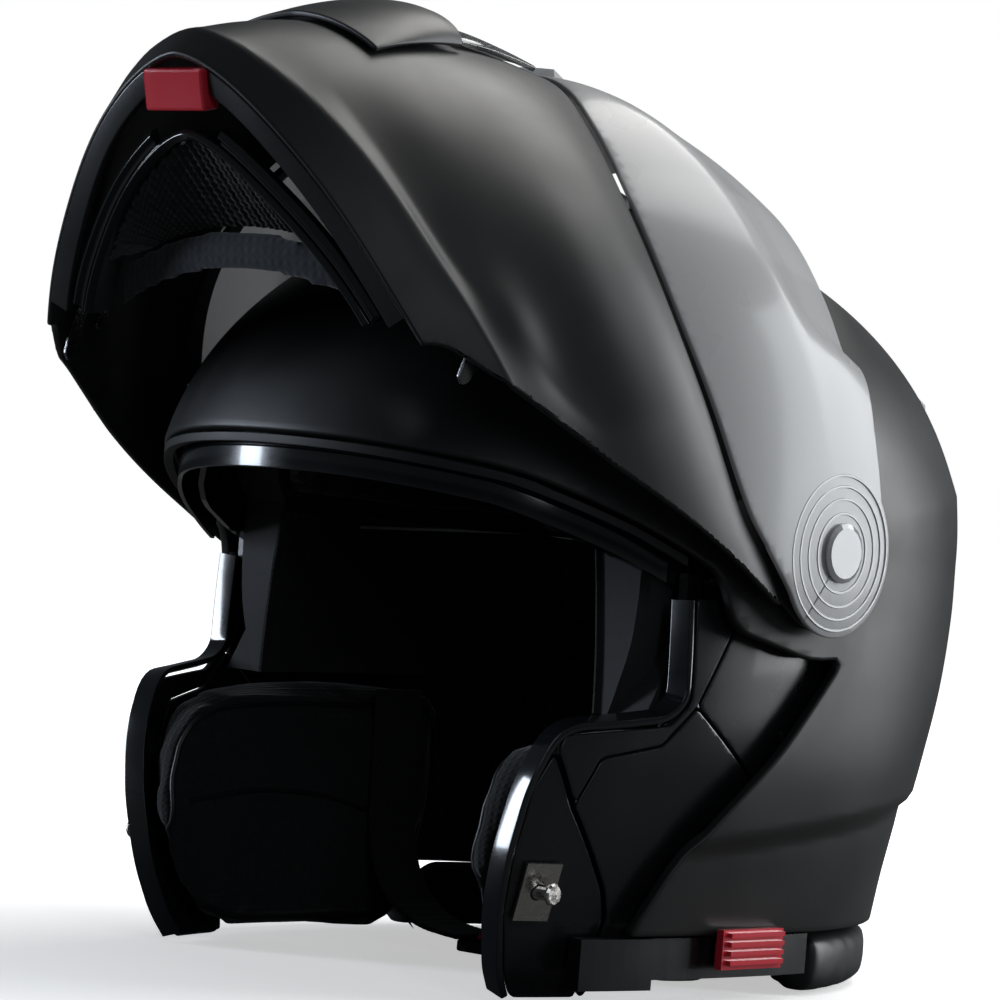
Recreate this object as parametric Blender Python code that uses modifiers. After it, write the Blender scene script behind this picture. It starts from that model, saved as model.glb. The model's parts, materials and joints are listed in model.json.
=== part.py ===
"""Flip-up motorcycle helmet with its chin bar raised.

The shapes are designed in a pivot frame: its origin is the middle of the chin bar's pivot axis,
+X is the wearer's left, -Y is the front and +Z is up.  Pieces of the chin bar and the visor are
designed closed, and one empty on the pivot axis turns them up to the open position.
"""
import math

import bmesh
import bpy
from mathutils import Vector

MM = 0.001

# ---- driving dimensions, metres and degrees
PIVOT_Y = 0.01565
PIVOT_Z = 0.145
OPEN_ANGLE = 76.0
GAP = 0.35 * MM
SHELL_WALL = 4.0 * MM
CHIN_WALL = 3.5 * MM
VISOR_WALL = 2.0 * MM
COVER_INSET = 8.0 * MM
PAD_INSET = 15.0 * MM
FOAM_OUTER_INSET = 5.5 * MM
FOAM_INNER_INSET = 34.5 * MM
CROWN_THICKNESS = 8.0 * MM
CHEEK_PAD_INNER_X = 64.0 * MM

# ---- outer shell: a dome above the pivot, and horizontal sections below it
SHELL_CENTRE_Y = 13.0 * MM
DOME_HEIGHT = 108.0 * MM
DOME_POWER = 2.0
DOME_HALF_WIDTH = 114.5 * MM
DOME_FRONT = 152.0 * MM
DOME_REAR = 146.0 * MM
PLAN_POWER = 2.2
# height, half width, length forward of the centre, length behind it (all in mm)
SHELL_ROWS = [
    (-150, 91, 178, 124),
    (-130, 99, 186, 120),
    (-107, 105.5, 190, 119),
    (-88, 110.5, 189, 122),
    (-68, 114, 184, 129),
    (-45, 115, 175, 139),
    (-20, 115, 162, 145),
    (0, 114.5, 152, 146),
]
BOTTOM_Z = -0.1235

# ---- chin bar: a band round the face between the visor edge and the lip
# (share of the way down, half width, reach forward of the pivot, roundness in plan), mm
CHIN_ROWS = [
    (0.00, 119.0, 153, 2.20),
    (0.12, 120.0, 160, 2.20),
    (0.25, 119.6, 167, 2.15),
    (0.40, 117.5, 173, 2.10),
    (0.60, 113.5, 179, 1.95),
    (0.80, 110.5, 182, 1.78),
    (1.00, 108.0, 181, 1.60),
]
# angle round from the front, height of the visor edge, height of the lip (mm)
CHIN_EDGE_ROWS = [
    (0, -2, -151),
    (12, -13, -150),
    (24, -31, -146),
    (36, -44, -142),
    (50, -50, -135),
    (66, -48, -124),
    (80, -42, -116),
    (90, -31, -110),
    (104, -18, -104),
]
GROOVE_DEPTH = 4.0 * MM

# ---- visor: a surface wrapped round the pivot axis
VISOR_HALF_WIDTH = 123.6 * MM
VISOR_POWER = 2.4
# angle above the forward direction, reach from the axis (mm), roundness across
VISOR_ROWS = [
    (-180, 140, 2.40),
    (-90, 153, 2.40),
    (-4, 153, 2.35),
    (5, 146, 2.15),
    (11, 142, 2.02),
    (20, 137, 1.95),
    (30, 132.5, 1.92),
    (42, 130, 1.90),
    (70, 130, 1.95),
    (180, 140, 2.40),
]
VISOR_DISC_RADIUS = 27.0 * MM

PARTS = "flip_up_helmet"
CUTTERS = "helmet_cutters"


# ---------------------------------------------------------------- scene and materials
def clear_scene():
    for old in list(bpy.data.objects):
        bpy.data.objects.remove(old, do_unlink=True)


def collection(name):
    made = bpy.data.collections.new(name)
    bpy.context.scene.collection.children.link(made)
    return made


def material(name, colour, roughness, metallic=0.0, alpha=1.0):
    made = bpy.data.materials.new(name)
    made.use_nodes = True
    shader = made.node_tree.nodes["Principled BSDF"]
    shader.inputs["Base Color"].default_value = (*colour, 1.0)
    shader.inputs["Roughness"].default_value = roughness
    shader.inputs["Metallic"].default_value = metallic
    shader.inputs["Alpha"].default_value = alpha
    return made


clear_scene()
parts = collection(PARTS)
cutters = collection(CUTTERS)

MATTE = (0.020, 0.021, 0.023)
SATIN = (0.012, 0.013, 0.015)
FABRIC = (0.010, 0.011, 0.013)
FOAM = (0.030, 0.030, 0.032)
RUBBER = (0.008, 0.008, 0.008)
STEEL = (0.62, 0.60, 0.57)
RED = (0.50, 0.025, 0.035)
CLEAR = (0.80, 0.82, 0.84)
SMOKE = (0.05, 0.05, 0.055)


def empty(name, location, parent=None):
    made = bpy.data.objects.new(name, None)
    made.location = location
    made.parent = parent
    made.empty_display_size = 0.02
    parts.objects.link(made)
    return made


pivot_frame = empty("pivot_frame", (0, PIVOT_Y, PIVOT_Z))
chin_axis = empty("chin_bar_axis", (0, 0, 0), pivot_frame)
chin_axis.rotation_euler.x = -math.radians(OPEN_ANGLE)


def place(bm, name, look, parent, smooth=True, home=None):
    """Turn a bmesh into a named object, coloured and parented."""
    bmesh.ops.recalc_face_normals(bm, faces=bm.faces)
    if bm.calc_volume(signed=True) < 0:
        bmesh.ops.reverse_faces(bm, faces=bm.faces)
    mesh = bpy.data.meshes.new(name)
    bm.to_mesh(mesh)
    bm.free()
    if smooth:
        mesh.shade_smooth()
        mesh.set_sharp_from_angle(angle=math.radians(35))
    made = bpy.data.objects.new(name, mesh)
    (home or parts).objects.link(made)
    made.parent = parent
    if look is not None:
        mesh.materials.append(material(name + "_finish", *look))
    return made


def cut(target, cutter, operation="DIFFERENCE"):
    modifier = target.modifiers.new(cutter.name, "BOOLEAN")
    modifier.operation = operation
    modifier.solver = "EXACT"
    modifier.object = cutter
    return target


def thicken(target, thickness, offset=-1.0):
    modifier = target.modifiers.new("wall", "SOLIDIFY")
    modifier.thickness = thickness
    modifier.offset = offset
    modifier.use_even_offset = True
    return target


def weld(target):
    """Close the hairline seams that are left where cut faces nearly meet."""
    modifier = target.modifiers.new("weld", "WELD")
    modifier.merge_threshold = 0.00005
    return target


def as_cutter(made):
    made.hide_render = True
    made.display_type = "WIRE"
    return made


# ---------------------------------------------------------------- curves and surfaces
def smooth_row(rows, t):
    """A Catmull-Rom value through rows of (t, value, value, ...)."""
    t = min(max(t, rows[0][0]), rows[-1][0])
    i = 0
    while i < len(rows) - 2 and t > rows[i + 1][0]:
        i += 1
    before = rows[max(i - 1, 0)]
    start = rows[i]
    end = rows[i + 1]
    after = rows[min(i + 2, len(rows) - 1)]
    span = end[0] - start[0]
    u = (t - start[0]) / span
    values = []
    for k in range(1, len(start)):
        lead = (end[k] - before[k]) / (end[0] - before[0]) * span
        tail = (after[k] - start[k]) / (after[0] - start[0]) * span
        values.append(
            (2 * u**3 - 3 * u**2 + 1) * start[k]
            + (u**3 - 2 * u**2 + u) * lead
            + (-2 * u**3 + 3 * u**2) * end[k]
            + (u**3 - u**2) * tail
        )
    return values


def signed_power(value, power):
    return math.copysign(abs(value) ** power, value)


def shell_section(z):
    """Half width, forward length and rear length of the shell at a height."""
    if z >= 0:
        scale = max(1 - (z / DOME_HEIGHT) ** DOME_POWER, 0) ** (1 / DOME_POWER)
        return DOME_HALF_WIDTH * scale, DOME_FRONT * scale, DOME_REAR * scale
    return [value * MM for value in smooth_row(SHELL_ROWS, z / MM)]


def shell_side_x(y, z, inset=0.0):
    """Half width of the shell at one place in side view."""
    width, front, rear = shell_section(z)
    length = front if y < SHELL_CENTRE_Y else rear
    share = min(abs(y - SHELL_CENTRE_Y) / (length - inset), 1.0)
    return (width - inset) * (1 - share**PLAN_POWER) ** (1 / PLAN_POWER)


def shell_ring(z, inset, count):
    """One horizontal ring of the shell, drawn in by an inset."""
    height = DOME_HEIGHT - inset
    level = z * DOME_HEIGHT / height if z > 0 else z
    width, front, rear = shell_section(level)
    share = 1.0
    if z > 0:
        share = width / DOME_HALF_WIDTH
    ring = []
    for i in range(count):
        turn = 2 * math.pi * i / count
        length = front if math.cos(turn) > 0 else rear
        x = (width - inset * share) * signed_power(math.sin(turn), 2 / PLAN_POWER)
        y = -(length - inset * share) * signed_power(math.cos(turn), 2 / PLAN_POWER)
        ring.append(Vector((x, SHELL_CENTRE_Y + y, z)))
    return ring


def skin_rings(bm, rings, closed=True):
    """Join rings of points with quads, and return the rings of vertices."""
    rows = [[bm.verts.new(point) for point in ring] for ring in rings]
    for low, high in zip(rows, rows[1:]):
        count = len(low)
        for i in range(count if closed else count - 1):
            j = (i + 1) % count
            bm.faces.new((low[i], low[j], high[j], high[i]))
    return rows


def shell_blank(name, inset, bottom, count=40, steps_low=9, steps_high=9, solid=True):
    """The shell's form at an inset, from a bottom height to the crown."""
    height = DOME_HEIGHT - inset
    levels = [bottom * (1 - i / steps_low) for i in range(steps_low)]
    for i in range(steps_high):
        levels.append(height * math.sin(0.5 * math.pi * i / steps_high))
    bm = bmesh.new()
    rows = skin_rings(bm, [shell_ring(z, inset, count) for z in levels])
    crown = bm.verts.new((0, SHELL_CENTRE_Y, height))
    last = rows[-1]
    for i in range(count):
        bm.faces.new((last[i], last[(i + 1) % count], crown))
    if solid:
        bm.faces.new(rows[0])
    return bm


def prism(name, outline, x_low, x_high, parent):
    """A cutter: a side-view outline in millimetres, carried across in X."""
    bm = bmesh.new()
    verts = [bm.verts.new((x_low, y * MM, z * MM)) for y, z in outline]
    face = bm.faces.new(verts)
    grown = bmesh.ops.extrude_face_region(bm, geom=[face])
    moved = [item for item in grown["geom"] if isinstance(item, bmesh.types.BMVert)]
    bmesh.ops.translate(bm, verts=moved, vec=(x_high - x_low, 0, 0))
    return as_cutter(place(bm, name, None, parent, smooth=False, home=cutters))


def block(name, low, high, parent, look=None, bevel=0.0):
    """A box between two corners in millimetres, with an optional rounded edge."""
    bm = bmesh.new()
    bmesh.ops.create_cube(bm, size=1.0)
    low = Vector(low) * MM
    high = Vector(high) * MM
    for vert in bm.verts:
        vert.co = Vector(
            (high[k] if vert.co[k] > 0 else low[k]) for k in range(3)
        )
    home = parts if look else cutters
    made = place(bm, name, look, parent, smooth=False, home=home)
    if not look:
        as_cutter(made)
    if bevel:
        modifier = made.modifiers.new("edges", "BEVEL")
        modifier.width = bevel * MM
        modifier.segments = 2
    return made


def rod(name, look, parent, centre, x_low, x_high, radius, sides=24, tip=None):
    """A round bar along X about a side-view centre in millimetres."""
    bm = bmesh.new()
    tip = radius if tip is None else tip
    bmesh.ops.create_cone(
        bm, cap_ends=True, segments=sides, radius1=radius * MM, radius2=tip * MM,
        depth=(x_high - x_low) * MM,
    )
    for vert in bm.verts:
        x, y, z = vert.co
        vert.co = Vector((z + (x_low + x_high) / 2 * MM, y + centre[0] * MM, -x + centre[1] * MM))
    home = parts if look else cutters
    made = place(bm, name, look, parent, smooth=False, home=home)
    if not look:
        as_cutter(made)
    return made


def sweep(name, look, parent, path, section, closed=False):
    """A bar: a section of (across, up) offsets carried along a path of (point, across, up)."""
    bm = bmesh.new()
    rings = []
    for point, across, up in path:
        rings.append([point + across * a * MM + up * b * MM for a, b in section])
    rows = skin_rings(bm, rings)
    if closed:
        for i, vert in enumerate(rows[-1]):
            j = (i + 1) % len(section)
            bm.faces.new((vert, rows[-1][j], rows[0][j], rows[0][i]))
    else:
        bm.faces.new(rows[0])
        bm.faces.new(list(reversed(rows[-1])))
    return place(bm, name, look, parent)


def mirrored(source, name, look):
    """The right-hand copy of a left-hand piece."""
    depsgraph = bpy.context.evaluated_depsgraph_get()
    mesh = bpy.data.meshes.new_from_object(source.evaluated_get(depsgraph))
    bm = bmesh.new()
    bm.from_mesh(mesh)
    for vert in bm.verts:
        vert.co.x = -vert.co.x
    bmesh.ops.reverse_faces(bm, faces=bm.faces)
    made = place(bm, name, look, source.parent)
    bpy.data.meshes.remove(mesh)
    return made


# ---------------------------------------------------------------- fixed shell
# side-view outlines in mm from the pivot axis: (y, z)
BROW_LINE = [(-230, 26), (-137, 25), (-105, 18), (-72, 5), (-41, -9)]
PORT_TO_PIVOT = [(-36, -26), (0, -35), (17, -34)]
SHELL_FRONT_EDGE = [(12, -40), (-11, -65), (-30, -83), (-46, -101), (-56, -122), (-60, -160)]


def make_outer_shell():
    bm = shell_blank("outer_shell", 0.0, BOTTOM_Z, count=44, steps_low=8, steps_high=9, solid=False)
    shell = thicken(place(bm, "outer_shell", (MATTE, 0.55), pivot_frame), SHELL_WALL)
    front = BROW_LINE + PORT_TO_PIVOT + SHELL_FRONT_EDGE + [(-230, -160)]
    cut(shell, prism("front_opening", front, -0.2, 0.2, pivot_frame))
    return shell


outer_shell = make_outer_shell()


# ---------------------------------------------------------------- chin bar shell (closed position)
CHIN_STEPS = 22
CHIN_LAST_ANGLE = 104.0
# side-view outline of the chin bar's side: pivot disc, rear edge and lip corner (mm)
CHIN_REAR_EDGE = [(12, -27), (-9, -50), (-43, -89), (-70, -116), (-77, -124), (-88, -134)]


def chin_point(angle, share, inset=0.0):
    """A point of the chin bar: angle round from the front (degrees), share of the way down."""
    half_width, reach, power = smooth_row(CHIN_ROWS, share)
    half_width = half_width * MM - inset
    reach = reach * MM - inset
    top, bottom = [value * MM for value in smooth_row(CHIN_EDGE_ROWS, abs(angle))]
    turn = math.radians(angle)
    pull = (abs(math.sin(turn)) / half_width) ** power + (abs(math.cos(turn)) / reach) ** power
    radius = pull ** (-1 / power) - groove(angle, share)
    return Vector((radius * math.sin(turn), -radius * math.cos(turn), top + (bottom - top) * share))


def groove(angle, share):
    """Depth of the hollow that fans back along each side of the chin bar."""
    run = (abs(angle) - 14) / 50
    if run <= 0 or run >= 1:
        return 0.0
    middle = 0.87 - 0.07 * run - 0.24 * run**3
    spread = 0.08 + 0.12 * run
    drop = (share - middle) / spread
    return GROOVE_DEPTH * math.sin(math.pi * run) * math.exp(-drop * drop)


def disc_outline(radius, start, end, count):
    """Points (mm) of an arc about the pivot, angles in degrees from the rear (+Y), rising."""
    points = []
    for i in range(count + 1):
        turn = math.radians(start + (end - start) * i / count)
        points.append((radius / MM * math.cos(turn), radius / MM * math.sin(turn)))
    return points


def make_chin_bar_shell():
    shares = [0, 0.05, 0.12, 0.2, 0.3, 0.4, 0.5, 0.6, 0.7, 0.8, 0.9, 1.0]
    angles = [CHIN_LAST_ANGLE * (2 * i / CHIN_STEPS - 1) for i in range(CHIN_STEPS + 1)]
    rings = [[chin_point(angle, share) for angle in angles] for share in shares]
    bm = bmesh.new()
    skin_rings(bm, rings, closed=False)
    look = (MATTE, 0.5)
    shell = thicken(place(bm, "chin_bar_shell", look, chin_axis), CHIN_WALL, offset=-1.0)
    rear = CHIN_REAR_EDGE + [(-90, -200), (90, -200), (90, 40), (12, 40)]
    cut(shell, prism("chin_rear_cut", rear, -0.2, 0.2, chin_axis))
    return shell


chin_bar_shell = make_chin_bar_shell()


# ---------------------------------------------------------------- visor (closed position)
VISOR_TOP_EDGE = [(-106, 70), (-102, 60), (-94, 50), (-80, 40), (-60, 31.5), (-34, 26.5), (-12, 24.5)]


def visor_point(x, turn, inset=0.0):
    """A point of the visor: place across, and angle in degrees above the forward direction."""
    reach, power = smooth_row(VISOR_ROWS, turn)
    flat = min(max((abs(x) / MM - 105) / 14, 0.0), 1.0)
    power += (VISOR_POWER - power) * flat * flat * (3 - 2 * flat)
    share = min(abs(x) / (VISOR_HALF_WIDTH - inset), 1.0)
    radius = (reach * MM - inset) * (1 - share**power) ** (1 / power)
    tilt = math.radians(turn)
    return Vector((x, -radius * math.cos(tilt), radius * math.sin(tilt)))


def visor_edge_outline():
    """Side-view outline of the closed visor (mm), down from the top centre and round the disc."""
    lower = []
    for angle in (40, 50, 58, 66, 73, 80, 86):
        point = chin_point(angle, 0.0)
        lower.append((point.y / MM, point.z / MM + 1.0))
    lower[0] = (-175, -50)
    disc = disc_outline(VISOR_DISC_RADIUS, 286, 470, 14)
    return list(reversed(VISOR_TOP_EDGE)) + [(-175, 84)] + lower + disc


def make_visor_seat():
    """The cutter that ends the visor just above the chin bar's upper edge."""
    bm = bmesh.new()
    rings = []
    for i in range(2, CHIN_STEPS - 1):
        angle = CHIN_LAST_ANGLE * (2 * i / CHIN_STEPS - 1)
        ring = []
        for inset, height in ((-9, 1.3), (16, 1.3), (16, -60), (-9, -60)):
            point = chin_point(angle, 0.0, inset * MM)
            ring.append(point + Vector((0, 0, height * MM)))
        rings.append(ring)
    rows = skin_rings(bm, rings)
    bm.faces.new(rows[0])
    bm.faces.new(list(reversed(rows[-1])))
    return as_cutter(place(bm, "visor_seat", None, chin_axis, home=cutters))


def make_visor():
    """A surface wrapped round the pivot axis, cut to its side view."""
    half = VISOR_HALF_WIDTH
    stations = [half * math.sin(math.radians(7.5 * i - 90)) for i in range(25)]
    stations[0] = -half * 0.9995
    stations[-1] = half * 0.9995
    turns = [-180 + 10 * i for i in range(36)]
    bm = bmesh.new()
    rings = [[visor_point(x, turn) for turn in turns] for x in stations]
    rows = skin_rings(bm, rings)
    for row in (rows[0], rows[-1]):
        bm.faces.new(row)
    look = (CLEAR, 0.05, 0.0, 0.35)
    visor = thicken(place(bm, "visor", look, chin_axis), VISOR_WALL)
    keep = prism("visor_outline", visor_edge_outline(), -0.2, 0.2, chin_axis)
    cut(visor, keep, "INTERSECT")
    return cut(visor, make_visor_seat())


visor = make_visor()


# ---------------------------------------------------------------- pivot stack, outward along X (mm)
ARM_PLATE = (115.2, 117.2)
RATCHET_PLATE = (118.0, 119.5)
SCREW_HEAD = (124.1, 125.4)
SCREW_RADIUS = 3.5
SCREW_HOLE = 3.9
SIDES = (("left", 1), ("right", -1))


def side_range(low, high, sign):
    """An X range on the left side, or its mirror image on the right."""
    return (low, high) if sign > 0 else (-high, -low)


def turned(name, look, parent, centre, profile, sign=1, steps=18):
    """A turned piece along X: a profile of (radius, distance out from the middle), in mm."""
    bm = bmesh.new()
    verts = [bm.verts.new((radius * MM, 0, out * MM)) for radius, out in profile]
    for first, second in zip(verts, verts[1:]):
        bm.edges.new((first, second))
    mesh = bpy.data.meshes.new(name)
    bm.to_mesh(mesh)
    bm.free()
    made = bpy.data.objects.new(name, mesh)
    parts.objects.link(made)
    made.parent = parent
    made.location = (0, centre[0] * MM, centre[1] * MM)
    made.rotation_euler.y = math.radians(90 * sign)
    screw = made.modifiers.new("turn", "SCREW")
    screw.steps = steps
    screw.render_steps = steps
    screw.use_merge_vertices = True
    screw.merge_threshold = 0.00005
    mesh.materials.append(material(name + "_finish", *look))
    return made


def make_pivots():
    arm = [(-24, -47), (-25, -34), (-18, 4), (-8, 24), (14, 22), (26, 4), (22, -14), (9, -26), (-8, -47)]
    ratchet = disc_outline(23 * MM, 190, 440, 16) + [(-12, 24), (-26, 12), (-27, 2)]
    for side, sign in SIDES:
        low, high = side_range(*ARM_PLATE, sign)
        plate = prism("arm_plate_" + side, arm, low * MM, high * MM, chin_axis)
        cut(chin_bar_shell, plate, "UNION")
        low, high = side_range(*RATCHET_PLATE, sign)
        bm = bmesh.new()
        face = bm.faces.new([bm.verts.new((low * MM, y * MM, z * MM)) for y, z in ratchet])
        grown = bmesh.ops.extrude_face_region(bm, geom=[face])
        moved = [item for item in grown["geom"] if isinstance(item, bmesh.types.BMVert)]
        bmesh.ops.translate(bm, verts=moved, vec=((high - low) * MM, 0, 0))
        name = "visor_ratchet_" + side
        plate = place(bm, name, ((0.42, 0.43, 0.45), 0.4), chin_axis, smooth=False)
        for target in (chin_bar_shell, outer_shell, visor, plate):
            parent = target.parent
            low, high = side_range(100, 130, sign)
            hole = rod("pivot_hole_" + side, None, parent, (0, 0), low, high, SCREW_HOLE)
            cut(target, hole)
        head = [(0, SCREW_HEAD[1]), (8, SCREW_HEAD[1]), (9.5, SCREW_HEAD[0] + 0.6), (9.5, SCREW_HEAD[0])]
        profile = head + [(SCREW_RADIUS, SCREW_HEAD[0]), (SCREW_RADIUS, 110.2), (0, 110.2)]
        turned("pivot_screw_" + side, ((0.3, 0.31, 0.32), 0.35, 0.6), pivot_frame, (0, 0), profile, sign)


make_pivots()
weld(visor)


# ---------------------------------------------------------------- foam, pads and roll
def make_foam_liner():
    """Impact foam inside the shell, opened at the face, with room in front for the sun visor."""
    bm = shell_blank("eps_liner", FOAM_OUTER_INSET, -0.1195, count=32, steps_low=6, steps_high=7)
    liner = place(bm, "eps_liner", (FOAM, 0.9), pivot_frame)
    inner = shell_blank("head_space", FOAM_INNER_INSET, -0.16, count=28, steps_low=4, steps_high=6)
    cut(liner, as_cutter(place(inner, "head_space", None, pivot_frame, home=cutters)))
    front = [(-230, 34), (-130, 33), (-100, 27), (-70, 14), (-53, 1), (-53, -56), (39.3, -56)]
    front += [(39.3, -160), (-230, -160)]
    cut(liner, prism("liner_opening", front, -0.2, 0.2, pivot_frame))
    behind_cover = [(-61, 3.6), (-61, -71), (27, -71), (27, -17), (3, -8), (-10.4, -6), (-10.4, 3.6)]
    behind_edge = [(-62, 21), (-62, -73), (-34, -73), (-34, 13)]
    for side, sign in SIDES:
        low, high = side_range(96.4, 130, sign)
        cut(liner, prism("cover_room_" + side, behind_cover, low * MM, high * MM, pivot_frame))
        low, high = side_range(90.6, 131, sign)
        cut(liner, prism("edge_room_" + side, behind_edge, low * MM, high * MM, pivot_frame))
    return liner


def make_crown_pad():
    outer = FOAM_INNER_INSET + GAP * 2
    bm = shell_blank("crown_pad", outer, 0.0, count=28, steps_low=1, steps_high=6)
    pad = place(bm, "crown_pad", (FABRIC, 0.95), pivot_frame)
    inner = shell_blank("crown_space", outer + CROWN_THICKNESS, -0.03, count=24, steps_low=1, steps_high=6)
    cut(pad, as_cutter(place(inner, "crown_space", None, pivot_frame, home=cutters)))
    front = [(-160, 22), (-96, 21), (-60, 6), (-46, -3), (-46, -20), (-160, -20)]
    cut(pad, prism("crown_opening", front, -0.2, 0.2, pivot_frame))


CHEEK_PAD_OUTLINE = [
    (-46, -59), (-72, -60), (-90, -65), (-101, -79), (-105, -97), (-103, -113),
    (-93, -131), (-80, -142), (-68, -145), (12, -145), (30, -130), (34, -92), (32, -59),
]


def make_cheek_pads():
    bm = shell_blank("cheek_pad_left", PAD_INSET, -0.1450, count=36, steps_low=7, steps_high=2)
    pad = place(bm, "cheek_pad_left", (FABRIC, 0.95), pivot_frame)
    keep = prism("cheek_pad_outline", CHEEK_PAD_OUTLINE, CHEEK_PAD_INNER_X, 0.15, pivot_frame)
    cut(pad, keep, "INTERSECT")
    mirrored(pad, "cheek_pad_right", (FABRIC, 0.95))


def rounded_section(across, up, corner):
    """An eight-sided section (mm) with its corners cut."""
    a, u = across - corner, up - corner
    return [(-across, -u), (-a, -up), (a, -up), (across, -u), (across, u), (a, up), (-a, up), (-across, u)]


def ring_path(z, inset, start, end, count):
    """A path along the shell at one height; turn is 0 at the front and 90 at the left."""
    path = []
    width, front, rear = shell_section(z)
    for i in range(count + 1):
        turn = math.radians(start + (end - start) * i / count)
        length = front if math.cos(turn) > 0 else rear
        x = (width - inset) * signed_power(math.sin(turn), 2 / PLAN_POWER)
        y = SHELL_CENTRE_Y - (length - inset) * signed_power(math.cos(turn), 2 / PLAN_POWER)
        inward = Vector((-x, SHELL_CENTRE_Y - y, 0)).normalized()
        path.append((Vector((x, y, z)), inward, Vector((0, 0, 1))))
    return path


def make_neck_roll():
    path = ring_path(-0.1346, 7.5 * MM, 101, 259, 18)
    sweep("neck_roll", (FABRIC, 0.8), pivot_frame, path, rounded_section(9.5, 10.4, 4))


foam_liner = make_foam_liner()
make_crown_pad()
make_cheek_pads()
make_neck_roll()


# ---------------------------------------------------------------- side covers, trims and strikers
COVER_OUTLINE = [
    (-44, -17), (-44, -50), (-52, -57), (-89, -61), (-97, -78), (-99, -98), (-97, -118),
    (-91, -135), (-84, -144.5), (-58, -144.5), (-46, -118), (-34, -98), (-16, -78), (-2, -64),
    (20, -42), (24, -24), (0, -17),
]


STRIKER = (-89, -110)


def surface_point(y, z, inset):
    """The left-hand point of the shell's surface, at an inset, above one place in side view."""
    return Vector((shell_side_x(y, z, inset), y, z))


def surface_normal(y, z, inset):
    """Outward direction of the shell's left side."""
    step = 0.5 * MM
    slope_y = (shell_side_x(y + step, z, inset) - shell_side_x(y - step, z, inset)) / (2 * step)
    slope_z = (shell_side_x(y, z + step, inset) - shell_side_x(y, z - step, inset)) / (2 * step)
    return Vector((1, -slope_y, -slope_z)).normalized()


def make_side_covers():
    """The recessed panels between the face opening and the matt shell."""
    ys = [(-104 + 12 * i) * MM for i in range(12)]
    zs = [(-148 + 14 * i) * MM for i in range(11)]
    bm = bmesh.new()
    rings = [[surface_point(y, z, COVER_INSET) for y in ys] for z in zs]
    skin_rings(bm, rings, closed=False)
    look = (SATIN, 0.35)
    cover = thicken(place(bm, "side_cover_left", look, pivot_frame), 3.0 * MM)
    cut(cover, prism("side_cover_outline", COVER_OUTLINE, 0.0, 0.2, pivot_frame), "INTERSECT")
    cut(cover, rod("striker_hole", None, pivot_frame, STRIKER, 70, 100, 2.6, sides=16))
    mirrored(cover, "side_cover_right", look)


def edge_path(outline, inset):
    """Frames along a side-view outline: point, outward from the shell, outward from the outline."""
    path = []
    for i, (y, z) in enumerate(outline):
        y0, z0 = outline[max(i - 1, 0)]
        y1, z1 = outline[min(i + 1, len(outline) - 1)]
        point = surface_point(y * MM, z * MM, inset)
        normal = surface_normal(y * MM, z * MM, inset)
        ahead = surface_point(y1 * MM, z1 * MM, inset) - surface_point(y0 * MM, z0 * MM, inset)
        sideways = normal.cross(ahead.normalized())
        path.append((point, normal, sideways.normalized()))
    return path


def make_port_trims():
    """The edge frames round the front of the side covers."""
    outline = [(-44, -18), (-44, -32), (-44, -50), (-52, -57), (-72, -59.5), (-89, -61), (-97, -78)]
    outline += [(-99, -98), (-97, -118), (-91, -135), (-86, -142)]
    section = [(-6.0, 3.0), (-0.3, 0.8), (0.8, 0.7), (1.6, 1.3), (1.6, 3.2), (-6.0, 4.8)]
    section = [(a, -b) for a, b in section]
    look = (SATIN, 0.2)
    trim = sweep("port_trim_left", look, pivot_frame, edge_path(outline, COVER_INSET), section)
    mirrored(trim, "port_trim_right", look)


def make_visor_guides():
    """Ribbed guides inside the rear edges of the face opening."""
    look = (SATIN, 0.3)
    for side, sign in SIDES:
        low, high = side_range(93.9, 97.4, sign)
        guide = block("visor_guide_" + side, (low, -43.4, -41), (high, -36.6, -10), pivot_frame, look)
        for depth in (-41.8, -39.4):
            low, high = side_range(92.0, 95.6, sign)
            slot = block("guide_slot", (low, depth, -39), (high, depth + 1.2, -12), pivot_frame)
            cut(guide, slot)


def make_strikers():
    """Steel plates and headed pins that the chin bar's latches close on."""
    look = (STEEL, 0.35, 1.0)
    bm = bmesh.new()
    rings = []
    for z in (-119, -113, -107, -101):
        rings.append([surface_point(y * MM, z * MM, COVER_INSET - 1.7 * MM) for y in (-95, -91, -87, -83)])
    skin_rings(bm, rings, closed=False)
    plate = thicken(place(bm, "striker_plate_left", look, pivot_frame), 1.3 * MM)
    cut(plate, rod("plate_hole", None, pivot_frame, STRIKER, 70, 100, 2.6, sides=16))
    mirrored(plate, "striker_plate_right", look)
    profile = [(0, 91.7), (2.9, 91.7), (3.5, 91.1), (3.5, 90.4), (2.2, 90.2), (2.2, 78.6), (0, 78.6)]
    for side, sign in SIDES:
        turned("striker_pin_" + side, (STEEL, 0.25, 1.0), pivot_frame, STRIKER, profile, sign, steps=14)


make_side_covers()
make_port_trims()
make_visor_guides()
make_strikers()


# ---------------------------------------------------------------- brow
def brow_height(y):
    """Height (m) of the shell's brow edge at one depth."""
    line = list(reversed(BROW_LINE))
    y = y / MM
    for (y0, z0), (y1, z1) in zip(line, line[1:]):
        if y1 <= y <= y0:
            return (z0 + (z1 - z0) * (y - y0) / (y1 - y0)) * MM
    return line[0][1] * MM if y > line[0][0] else line[-1][1] * MM


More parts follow.
